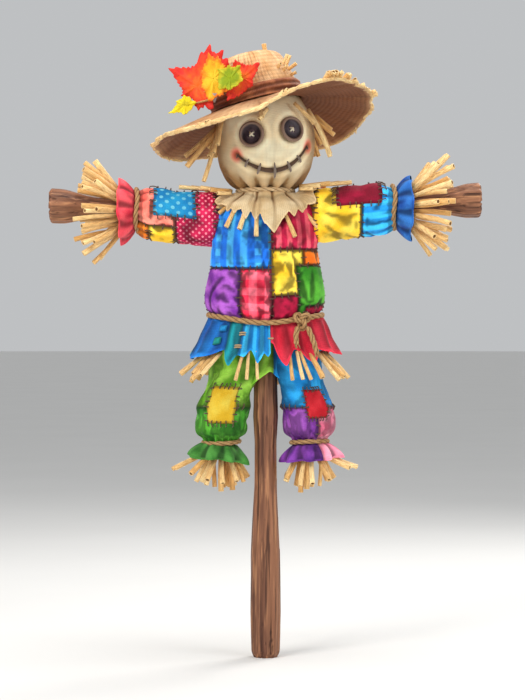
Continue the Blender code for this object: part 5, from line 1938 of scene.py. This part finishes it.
def button_eye(name):
    way = EYE_WAYS[name]
    place = facing(on_face(way, -0.001), way)
    sides = 64
    turns = [TAU * k / sides for k in range(sides)]
    points = []
    for z, share in BUTTON_SHAPE:
        reach = BUTTON_R * share
        points += [place @ Vector((reach * math.cos(turn), reach * math.sin(turn), z)) for turn in turns]
    last = len(points) - sides
    faces = grid_faces(len(BUTTON_SHAPE), sides)
    faces += [list(reversed(range(sides))), [last + k for k in range(sides)]]
    button = make(f"{name}_button_eye", points, faces, BUTTON, "head", (f"{name}_button_eye",), "dark_button")
    corners = [TAU * (k + 0.5) / 4 for k in range(4)]
    holes = [Vector((BUTTON_HOLE * math.cos(turn), BUTTON_HOLE * math.sin(turn), 0)) for turn in corners]
    drills = Shape()
    for hole in holes:
        tube(drills, [place @ (hole + Vector((0, 0, z))) for z in (-0.004, 0.008)], 0.0012, 16)
    cutter = drills.make("drills", BUTTON, None)
    cut = button.modifiers.new("Holes", "BOOLEAN")
    cut.operation, cut.object = "DIFFERENCE", cutter
    bpy.context.view_layer.update()
    graph = bpy.context.evaluated_depsgraph_get()
    button.data = bpy.data.meshes.new_from_object(button.evaluated_get(graph))
    button.modifiers.clear()
    bpy.data.objects.remove(cutter)
    button.data.materials.clear()
    button.data.materials.append(BUTTON)
    back = place.inverted()
    spans = [(back @ v.co).xy.length / BUTTON_R for v in button.data.vertices]
    add_values(button.data, {"rim": [smooth((span - 0.7) / 0.1) for span in spans]})
    button.data.shade_smooth()
    button.data.set_sharp_from_angle(angle=math.radians(50))
    strands = Shape()
    for a, b in ((0, 2), (1, 3)):
        for shift in (-0.0004, 0.0004):
            start, end = holes[a], holes[b]
            off = Vector((start.y, -start.x, 0)).normalized() * shift
            path = []
            for t, rise in enumerate(THREAD_RISE):
                over = 0.0006 * a if t == 3 else 0  # the second pair crosses over the first
                path.append(place @ (start.lerp(end, t / 6) + off + Vector((0, 0, rise + over))))
            tube(strands, path, 0.00048, 6)
    strands.stand_for(f"{name}_eye_thread", PALE_THREAD, "head", "pale_thread")


# where each stitch crosses the smile, from -1 to 1, and how far it reaches
MOUTH_STITCHES = ((-0.75, 0.095), (-0.47, 0.13), (-0.06, 0.16), (0.36, 0.14), (0.66, 0.1))


def mouth():
    """A stuffed line with a tuck at each corner, and the stitches across it."""
    line = Shape()
    path = [on_face(smile_way(k / 24 - 1), -0.0007 + 0.00015 * math.sin(k * 1.9)) for k in range(49)]
    radii = [0.0023 * (0.4 + 0.6 * smooth(min(k, 48 - k) / 17)) for k in range(49)]
    tube(line, path, radii, 10)
    for share in (-0.97, 0.97):
        a, b = smile_way(share), smile_way(share * 1.06)
        across = (b - a).cross(a).normalized()
        ends = [on_face((a + across * reach).normalized(), 0.0003) for reach in (-0.05, 0.0, 0.05)]
        tube(line, ends, [0.0005, 0.001, 0.0005], 8)
    line.make("smile", THREAD, "head", "thread")
    stitches = Shape()
    for share, reach in MOUTH_STITCHES:
        middle = smile_way(share)
        along = (smile_way(share + 0.02) - smile_way(share - 0.02)).normalized()
        up = middle.cross(along) * -1
        path = []
        for t in (-1, -0.6, 0, 0.6, 1):
            way = (middle + up * reach * t).normalized()
            path.append(on_face(way, 0.0024 - 0.0027 * abs(t) ** 3))
        tube(stitches, path, [0.0004, 0.001, 0.0014, 0.001, 0.0004], 8)
    stitches.stand_for("mouth_stitching", STITCH_THREAD, "head", "thread")


# the hair's stems: their roots on the head and their tips
HAIR = {
    "right": (
        ((-0.044, -0.015, 0.533), (-0.051, -0.028, 0.502)),
        ((-0.046, -0.012, 0.532), (-0.061, -0.024, 0.474)),
        ((-0.044, -0.006, 0.53), (-0.056, -0.02, 0.499)),
        ((-0.047, -0.012, 0.526), (-0.078, -0.015, 0.489)),
        ((-0.048, -0.002, 0.53), (-0.08, -0.006, 0.5)),
        ((-0.042, -0.023, 0.538), (-0.047, -0.037, 0.509)),
        ((0.002, -0.048, 0.544), (-0.006, -0.053, 0.533)),
        ((-0.005, -0.048, 0.543), (-0.003, -0.054, 0.535)),
    ),
    "left": (
        ((0.028, -0.04, 0.55), (0.048, -0.04, 0.53)),
        ((0.042, -0.029, 0.545), (0.064, -0.03, 0.498)),
        ((0.048, -0.024, 0.538), (0.064, -0.026, 0.501)),
        ((0.05, -0.022, 0.534), (0.068, -0.024, 0.52)),
        ((0.05, -0.012, 0.536), (0.06, -0.014, 0.512)),
        ((0.049, -0.016, 0.54), (0.065, -0.02, 0.525)),
    ),
}


def hair():
    """Straw that sticks out from under the hat."""
    for name, stems in HAIR.items():
        rng = random.Random(80 + SIDES[name])
        shape = Shape()
        for root, tip in stems:
            stem(shape, root, tip, rng, STRAW_R * rng.uniform(0.85, 1.1), 0.06)
        shape.stand_for(f"{name}_hair_straw", STRAW, "head", "straw")
    back = random.Random(83)
    shape = Shape()
    for k in range(22):
        angle = math.radians(mix(105, 255, (k + back.uniform(-0.3, 0.3)) / 21))
        root = head_point(angle, 0.5, -0.001)
        tip_angle = angle + back.uniform(-0.15, 0.15)
        tip = head_point(tip_angle, back.uniform(-0.3, 0.05), back.uniform(0.006, 0.014))
        stem(shape, root, tip, back, STRAW_R * 0.8, 0.06)
    shape.make("back_hair_straw", STRAW, "head", "straw")


# ---------------------------------------------------------------- hat

HAT_R = half("hat_band").x * 0.965
BRIM_R, BRIM_THICK = 0.1105, 0.0024
# height above the brim, and radius as a share of HAT_R
CROWN_SHAPE = (
    (0.0, 1.02), (0.01, 0.99), (0.018, 0.945), (0.026, 0.895), (0.034, 0.845), (0.0405, 0.79),
    (0.046, 0.715), (0.05, 0.59), (0.0523, 0.38), (0.053, 0.12),
)


def brim_point(angle, share, lift=0.0):
    """A point of the brim: angle 0 is the wearer's left (+X), share 0 at the crown and 1 at the rim."""
    x, y = math.cos(angle), math.sin(angle)
    edge = 1 + 0.018 * math.sin(3 * angle + 1) + 0.012 * math.sin(5 * angle)
    edge += 0.026 * rough((x * 4, y * 4, 0), 0.35, 4)
    radius = mix(HAT_R, BRIM_R * edge, share)
    droop = -share * (0.0205 - 0.0035 * math.cos(2 * angle)) * (0.72 + 0.28 * share)
    floppy = -share * y * (0.003 + 0.031 * max(0.0, x))
    wave = floppy + 0.0024 * share * share * math.sin(4 * angle + 0.7)
    wave += 0.0016 * share * rough((x * 3, y * 3, 1), 0.9, 6)
    return on_hat(angle, radius, droop + wave + lift)


def hat():
    """The crown and brim, their outer skin and then their inner one."""
    cols = 168
    rows, uv, stain_and_shade, shade = [], [], [], []

    # the third number of each ring is its painted shade: at the foot of the crown, on the brim towards the
    # crown, under the brim most near the head, and inside the crown, all streaked
    def ring(build, out, painted_shade, pale=0.0):
        rows.append([build(TAU * i / cols) for i in range(cols)])
        for i in range(cols):
            angle = TAU * i / cols
            uv.append((angle * 0.07, out, 0))
            streak = 0.5 + 0.5 * rough((math.cos(angle) * 5, math.sin(angle) * 5, out * 20), 0.8, 2)
            stain_and_shade.append(min(0.97, painted_shade * (0.6 + 0.8 * streak)))
            shade.append(pale)

    def crown(angle, height, share, inset=0.0):
        lump = 0.0018 * rough((math.cos(angle) * 2, math.sin(angle) * 2, height * 50), 0.8, 8)
        dent = 0.0045 * math.exp(-((angle - 1.1) ** 2) / 0.6) * smooth((height - 0.03) / 0.02)
        radius = HAT_R * share + lump * smooth((height - 0.015) / 0.01) - dent * 0.6 - inset
        return on_hat(angle, radius, height - dent - inset)

    steps = 26
    for n in range(steps):
        t = 1 - n / (steps - 1)
        height = CROWN_SHAPE[-1][0] * (1 - (1 - t) ** 1.7)
        share = curve(CROWN_SHAPE, height)[0]
        painted_shade = 0.12 + 0.75 * math.exp(-height / 0.01)
        ring(lambda a, h=height, s=share: crown(a, h, s), 0.07 + height, painted_shade)
    for n in range(1, 25):
        share = n / 24
        pale = 0.5 * smooth((share - 0.9) / 0.1)
        ring(lambda a, s=share: brim_point(a, s), 0.065 * share, 0.92 * (1 - share) ** 0.6, pale)
    ring(lambda a: brim_point(a, 1.012, -0.0011), 0.066, 0.0, 0.9)
    for n in range(24, -1, -1):
        share = n / 24
        pale = 0.3 * smooth((share - 0.94) / 0.06)
        ring(lambda a, s=share: brim_point(a, s, -BRIM_THICK), 0.065 * share + 0.2, 1.7 - 0.9 * share, pale)
    for n in range(steps):
        height = CROWN_SHAPE[-1][0] * (n / (steps - 1)) ** 0.8
        share = curve(CROWN_SHAPE, height)[0]
        ring(lambda a, h=height, s=share: crown(a, h, s, 0.0018), 0.3 + height, 0.8)
    points = [p for row in rows for p in row]
    last = (len(rows) - 1) * cols
    faces = grid_faces(len(rows), cols) + [list(reversed(range(cols))), [last + i for i in range(cols)]]
    values = {"cloth": uv, "stain_and_shade": stain_and_shade, "shade": shade}
    piece = make("hat", points, faces, HAT_CLOTH, "hat", ("hat",), "hat_straw_cloth", values)
    turned = bmesh.new()
    turned.from_mesh(piece.data)
    bmesh.ops.recalc_face_normals(turned, faces=turned.faces)
    turned.to_mesh(piece.data)
    turned.free()
    rim()


# torn tufts on the rim: middle, spread, how many stems, where they start and end, and how far they rise
TUFTS = (
    (-0.74, 0.17, 13, 0.95, 1.05, 0.006),
    (-0.2, 0.3, 5, 0.96, 1.02, 0.002),
    (-0.03, 0.03, 4, 0.955, 1.085, 0.001),
    (3.13, 0.08, 5, 0.96, 1.025, 0.001),
    (4.2, 0.1, 3, 0.96, 1.02, 0.002),
    (4.95, 0.05, 2, 0.965, 1.015, 0.002),
)


def rim():
    """A thick rolled edge of straw, bound in short lengths, with ends that stick out of it."""
    rng = random.Random(90)
    edge = Shape()
    count = 46
    for k in range(count):
        a0 = TAU * (k + rng.uniform(-0.15, 0.15)) / count
        a1 = a0 + TAU / count * rng.uniform(1.05, 1.4)
        steps = 7
        out = rng.uniform(0.985, 1.012)
        path = []
        for t in range(steps + 1):
            lift = -0.0008 + rng.uniform(-0.0002, 0.0002)
            path.append(brim_point(mix(a0, a1, t / steps), out + 0.004 * math.sin(t), lift))
        size = rng.uniform(0.0017, 0.0024)
        radii = [size * (0.55 if t in (0, steps) else 1.0) for t in range(steps + 1)]
        tube(edge, path, radii, 7, shade=rng.uniform(0.5, 1.0), stain_and_shade=rng.uniform(0.0, 0.25))
    for k in range(52):
        angle = rng.uniform(0, TAU)
        base = brim_point(angle, rng.uniform(0.955, 0.99), rng.uniform(-0.002, 0.0))
        end_angle = angle + rng.uniform(-0.06, 0.06)
        end = brim_point(end_angle, rng.uniform(1.02, 1.055), rng.uniform(-0.004, 0.002))
        tube(edge, [base, (base + end) / 2, end], [0.0011, 0.001, 0.0005], 6, shade=rng.uniform(0.6, 1.0))
    for middle, spread, number, inner, outer, rise in TUFTS:
        for _ in range(number):
            angle = middle + rng.uniform(-1, 1) * spread
            base = brim_point(angle, inner + rng.uniform(-0.02, 0.0), 0.0)
            end_angle = angle + rng.uniform(-0.05, 0.05)
            end = brim_point(end_angle, outer * rng.uniform(0.99, 1.01), rise * rng.uniform(0.6, 1.2))
            stem(edge, base, end, rng, STRAW_R * rng.uniform(0.65, 0.95), 0.04, 0.15)
    edge.make("hat_rim", STRAW, "hat", "hat_straw_cloth")


def hat_band():
    """A ribbed ribbon: its outer skin, its inner skin, and the edges that join them."""
    bottom, top = 0.002, 0.0165
    cols, count = 180, 15
    points, uv = [], []
    for outer in (True, False):
        for j in range(count):
            share = j / (count - 1)
            height = mix(bottom, top, share)
            for i in range(cols):
                angle = TAU * i / cols
                radius = HAT_R * curve(CROWN_SHAPE, height)[0] + (0.0022 if outer else 0.0004)
                if outer:
                    radius += 0.0009 * math.cos(share * TAU * 2.5 + math.sin(2 * angle))
                    radius += 0.0009 * rough((angle * 2, j * 0.2, 0), 0.7, 3)
                points.append(on_hat(angle, radius, height + 0.001 * math.sin(angle + 0.5)))
                uv.append((angle * HAT_R, height, 0))
    faces = grid_faces(count, cols)
    faces += [tuple(reversed(face)) for face in grid_faces(count, cols, first=count * cols)]
    for j in (0, count - 1):
        for i in range(cols):
            k = (i + 1) % cols
            a, b = j * cols, (count + j) * cols
            quad = (a + i, b + i, b + k, a + k)
            faces.append(tuple(reversed(quad)) if j else quad)
    make("hat_band", points, faces, BAND, "hat", ("hat_band",), "hat_band", {"cloth": uv})


# loose ends at the crown's side: their angle and height, and how far out and up they reach
LOOSE_ENDS = (
    (-0.5, 0.031, 0.006, 0.009),
    (-0.36, 0.026, 0.009, 0.004),
    (-0.66, 0.024, 0.005, 0.004),
    (-0.42, 0.02, 0.006, 0.001),
    (-0.8, 0.028, 0.004, 0.003),
    (-0.3, 0.03, 0.005, 0.01),
)


def hat_straws():
    """A stem left standing on the crown, and loose ends at its side."""
    rng = random.Random(95)
    shape = Shape()
    foot = mid("hat_straw")
    tip = foot + HAT_UP * 0.003 + Vector((0.0006, 0, 0))
    stem(shape, foot - HAT_UP * 0.006, tip, rng, STRAW_R * 0.95, 0.0, 0.3)
    for angle, height, out, up in LOOSE_ENDS:
        radius = curve(CROWN_SHAPE, height)[0] * HAT_R
        base, tip = on_hat(angle, radius - 0.002, height), on_hat(angle, radius + out, height + up)
        stem(shape, base, tip, rng, STRAW_R * 0.72, 0.0, 0.3)
    shape.stand_for("hat_straw", STRAW, "hat", "straw")


# ---------------------------------------------------------------- leaves

# heart: the leaf's middle from the middle of its CAD node; way: where it faces; cup: how far it curls;
# ribs: the degrees of its lobes' tips; outline: degrees and the reach there in millimetres
LeafShape = namedtuple("LeafShape", "heart way cup ribs outline")
LEAVES = {
    "red_leaf": LeafShape(
        (-0.0018, 0.0, -0.016),
        (-0.32, -0.94, 0.1),
        0.1,
        (72, 54, 37, -59, 147, 212),
        (
            (-86, 24), (-68, 21), (-59, 30), (-35, 20), (-14, 21), (17, 27), (30, 33), (37, 40), (46, 36),
            (54, 42), (62, 35), (66, 36), (72, 42), (80, 34), (88, 31), (93, 21), (112, 20), (125, 23),
            (138, 28), (147, 32), (158, 24), (170, 19), (190, 15), (205, 16), (212, 18), (230, 13),
            (256, 14), (264, 19),
        ),
    ),
    "orange_leaf": LeafShape(
        (0.0052, 0.0, -0.005),
        (-0.05, -0.99, 0.1),
        0.12,
        (113, 42, -30, -121),
        (
            (-84, 14), (-60, 11), (-40, 13), (-20, 11), (-5, 10), (20, 14), (34, 19), (42, 23), (52, 16),
            (75, 13), (98, 15), (113, 19), (130, 15), (155, 17), (180, 17), (205, 18), (222, 20),
            (239, 27), (252, 20),
        ),
    ),
    "yellow_leaf": LeafShape(
        (0.0005, 0.0, -0.0112),
        (-0.18, -0.98, 0.08),
        0.16,
        (100, 48, -42, -94, 150),
        (
            (-94, 23), (-78, 17), (-63, 19), (-50, 17), (-42, 20), (-28, 15), (0, 12), (20, 13), (38, 16),
            (48, 17), (60, 17), (77, 22), (88, 20), (100, 25), (112, 19), (132, 15), (150, 14), (170, 11),
            (200, 11), (215, 14), (235, 14), (250, 19),
        ),
    ),
    "green_leaf": LeafShape(
        (-0.0098, -0.001, -0.0066),
        (0.02, -0.99, 0.05),
        0.2,
        (53, -95, 144),
        (
            (-95, 12), (-70, 9), (-45, 10), (-25, 10), (-9, 13), (10, 11), (25, 12), (42, 13), (53, 16),
            (66, 12), (82, 11), (94, 13), (110, 11), (130, 12), (144, 15), (160, 11), (185, 12),
            (205, 12), (226, 16), (245, 10),
        ),
    ),
    "small_leaf": LeafShape(
        (0.004, -0.001, -0.0006),
        (-0.35, -0.93, 0.1),
        0.12,
        (95, 10, -90, -150, 156),
        (
            (-90, 10), (-60, 7), (-27, 8), (-10, 8), (10, 12), (30, 8), (60, 9), (80, 8), (95, 10),
            (120, 7), (156, 9), (175, 8), (200, 13), (209, 17), (225, 10), (245, 8),
        ),
    ),
}


def leaf(name, material, slot):
    """A cupped cloth leaf with toothed lobes and raised ribs."""
    heart, out, curl, ribs, outline = LEAVES[name]
    out = Vector(out).normalized()
    place = facing(mid(name) + Vector(heart), out)
    rings, cols = 12, 156
    degrees = [outline[0][0] + 360 * i / cols for i in range(cols)]
    edge = list(outline) + [(outline[0][0] + 360, outline[0][1])]
    size = max(reach for _, reach in outline) / 1000
    points, uv, shade, stain_and_shade = [], [], [], []
    for j in range(rings):
        share = (j + 0.02) / (rings - 1)
        for turn in degrees:
            tooth = 1 + 0.045 * math.sin(math.radians(turn) * 34 + len(name)) * share
            reach = zigzag(edge, turn) / 1000 * share * tooth
            x, y = reach * math.cos(math.radians(turn)) / -out.y, reach * math.sin(math.radians(turn))
            near = min(abs(math.radians((turn - rib + 180) % 360 - 180)) for rib in ribs)
            rib = bell(near * reach, 0.0009) * smooth(share * 4)
            between = math.sin(min(near, 0.45) / 0.45 * math.pi) * 0.0011 * share
            cup = curl * (reach / size) ** 2 * size
            cup += 0.003 * rough((x, y, 0), size * 0.45, len(name)) * share
            points.append(place @ Vector((x, y, 0.0005 * rib + cup - between)))
            uv.append((x, y, 0))
            shade.append(share * mix(0.75, 1.05, reach / size))
            stain_and_shade.append(0.32 * rib * share)
    faces = grid_faces(rings, cols, flipped=True) + [list(range(cols))]
    values = {"cloth": uv, "shade": shade, "stain_and_shade": stain_and_shade}
    thicken(make(name, points, faces, material, "hat", (name,), slot, values), 0.0007, 0)
    return place


def leaves():
    """The bunch of leaves tucked behind the band, and the wrapped stalks that show under it."""
    places = [
        leaf("red_leaf", RED_LEAF, "red_leaf_cloth"),
        leaf("orange_leaf", RED_LEAF, "red_leaf_cloth"),
        leaf("yellow_leaf", YELLOW_LEAF, "yellow_leaf_cloth"),
        leaf("green_leaf", GREEN_LEAF, "green_leaf_cloth"),
        leaf("small_leaf", LEMON_LEAF, "yellow_leaf_cloth"),
    ]
    stalks = Shape()
    bunch = mid("yellow_leaf") + Vector((0.001, 0.006, -0.03))
    for place in places:
        start = place @ Vector((0, 0, -0.001))
        path = [start, start.lerp(bunch, 0.5) + Vector((0, 0.003, 0)), bunch]
        tube(stalks, path, [0.0008, 0.001, 0.0012], 7, shade=0.3, stain_and_shade=0.5)
    stalks.make("leaf_stalks", STRAW, "hat", "straw")
    wrap = Shape()
    top = bunch + Vector((0, -0.0045, 0.0045))
    path = [top.lerp(top + Vector((0.0004, 0, -0.0085)), t / 8) for t in range(9)]
    tube(wrap, path, [0.004 * (1 - 0.85 * (t / 8) ** 1.3) + 0.0002 * (-1) ** t for t in range(9)], 12)
    wrap.make("stalk_wrap", GREY_THREAD, "hat", "thread")


# ---------------------------------------------------------------- wood


FACETS = 9  # round a stick


def hewn(node, material, voxel, along, seed):
    """A finer copy of a CAD stick with tool facets, waves and checks cut in; along is its axis, 0 to 2."""
    source = frame["nodes"][node]
    copy = bpy.data.objects.new(f"hewn_{node}", source.data.copy())
    bpy.context.scene.collection.objects.link(copy)
    remesh = copy.modifiers.new("Finer", "REMESH")
    remesh.mode, remesh.voxel_size = "VOXEL", voxel
    bpy.context.view_layer.update()
    graph = bpy.context.evaluated_depsgraph_get()
    mesh = bpy.data.meshes.new_from_object(copy.evaluated_get(graph))
    bpy.data.objects.remove(copy)
    obj = bpy.data.objects.new(f"{node}_look", mesh)
    bpy.context.scene.collection.objects.link(obj)
    axes = [k for k in range(3) if k != along]
    length_low, length_high = low(node)[along], high(node)[along]
    for vertex in mesh.vertices:
        point = vertex.co.copy()
        centre = bar_line(point.x) if along == 0 else Vector((0, 0, 0))
        x, y = point[axes[0]] - centre[axes[0]], point[axes[1]] - centre[axes[1]]
        turn = math.atan2(y, x)
        run = point[along]
        facet = 0.0007 * abs(math.cos(FACETS / 2 * (turn + 0.35 * rough((run, 0, 0), 0.09, seed)))) - 0.0004
        place = (math.cos(turn) * 0.4, math.sin(turn) * 0.4, run * 1.3)
        wave = 0.0009 * rough(place, 0.16, seed)
        crack_at = rough((math.cos(turn), math.sin(turn), run * 2.2), 0.26, seed + 3)
        crack = 0.0013 * bell(crack_at, 0.035) * (0.35 + 0.65 * end_share(run, length_low, length_high))
        out = Vector((0, 0, 0))
        size = math.hypot(x, y)
        if size > 0.003:
            out[axes[0]], out[axes[1]] = x / size, y / size
            narrow = 0.004 * smooth((0.206 - abs(run)) / 0.036) if along == 0 else 0.0
            vertex.co += out * (facet + wave - crack - narrow) * min(1.0, size / 0.008)
        if min(run - length_low, length_high - run) < 0.0012 and size < 0.02:
            inward = 1 if run - length_low < length_high - run else -1
            ring = 0.0003 * math.cos(size * TAU / 0.003)
            split = 0.0022 * bell(crack_at, 0.05) * smooth(size / 0.004)
            vertex.co[along] += inward * (ring + split)
    mesh.materials.clear()
    mesh.materials.append(material)
    mesh.shade_smooth()
    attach(obj, "frame")
    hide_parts(node)


def end_share(run, first, last):
    """1 at a stick's ends, fading over a few centimetres."""
    return math.exp(-min(run - first, last - run) / 0.03)


def bar_line(x):
    """The crossbar's centre at x: it tilts, and bows up towards its ends."""
    right, left = mid("right_wrist_rope"), mid("left_wrist_rope")
    tilt = (left.z - right.z) / (left.x - right.x)
    middle = (left.z + right.z) / 2 - 0.0004
    ends = (high("crossbar").z + low("crossbar").z) / 2
    bow = (ends - middle) * ((x / high("crossbar").x) ** 2 - (right.x / high("crossbar").x) ** 2)
    return Vector((0, 0, middle + tilt * x + max(-0.002, bow)))


def steel():
    """The bolt and its nut keep their CAD shape and only get a look."""
    paint = Paint("zinc_steel")
    brushed = paint.cloud(paint.where(), 900, 3)
    material = paint.finish((0.62, 0.62, 0.63), paint.span(brushed, 0.3, 0.7, 0.25, 0.45), metallic=1.0)
    for node in ("crossbar_bolt", "bolt_nut"):
        obj = frame["nodes"][node]
        obj.data.materials.clear()
        obj.data.materials.append(material)


# ---------------------------------------------------------------- stage


def stage():
    """A wide pale floor, soft lights, and a level camera in front."""
    points = [(30 * math.cos(TAU * k / 96), 30 * math.sin(TAU * k / 96), 0) for k in range(96)]
    make("floor", points, [list(range(96))], floor_paint(), None)
    lights = (
        ("key", (-1.1, -1.5, 1.6), 31, 0.9, (1.0, 0.97, 0.93)),
        ("fill", (1.5, -1.3, 0.9), 12, 1.2, (0.94, 0.97, 1.0)),
        ("top", (0.1, -0.1, 1.9), 12, 0.8, (1.0, 1.0, 1.0)),
        ("rim", (0.7, 1.0, 1.2), 12, 0.6, (1.0, 0.98, 0.95)),
    )
    for name, place, power, size, colour in lights:
        light = bpy.data.lights.new(name, "AREA")
        light.energy, light.size, light.color = power, size, colour
        lamp = bpy.data.objects.new(name, light)
        lamp.location = place
        lamp.rotation_euler = (Vector((0, 0, 0.38)) - Vector(place)).to_track_quat("-Z", "Y").to_euler()
        bpy.context.scene.collection.objects.link(lamp)
    world = bpy.data.worlds.new("studio")
    world.use_nodes = True
    world.node_tree.nodes["Background"].inputs[0].default_value = (0.86, 0.88, 0.9, 1)
    world.node_tree.nodes["Background"].inputs[1].default_value = 0.6
    bpy.context.scene.world = world
    bpy.context.scene.view_settings.view_transform = "Standard"
    lens = bpy.data.cameras.new("camera")
    camera = bpy.data.objects.new("camera", lens)
    distance, eye, width = 2.4, 0.33, 0.7  # width is what the picture spans at the figure
    middle = (CAD_BOX[0][2] + CAD_BOX[1][2]) / 2
    lens.sensor_width = 36
    lens.lens = 36 * distance / width
    lens.shift_y = -(eye - middle) / width
    camera.location = (-0.0029, -distance, eye)
    camera.rotation_euler = (math.pi / 2, 0, 0)
    bpy.context.scene.collection.objects.link(camera)
    bpy.context.scene.camera = camera


body = shirt()
skirts()
arms(body)
collar()
belt()
waist_straw()
seat()
legs()
head()
neck_cord()
for eye_name in SIDES:
    button_eye(eye_name)
mouth()
hair()
hat()
hat_band()
hat_straws()
leaves()
hewn("pole", POLE_WOOD, 0.0016, 2, 1.0)
hewn("crossbar", BAR_WOOD, 0.0013, 0, 5.0)
steel()
stage()
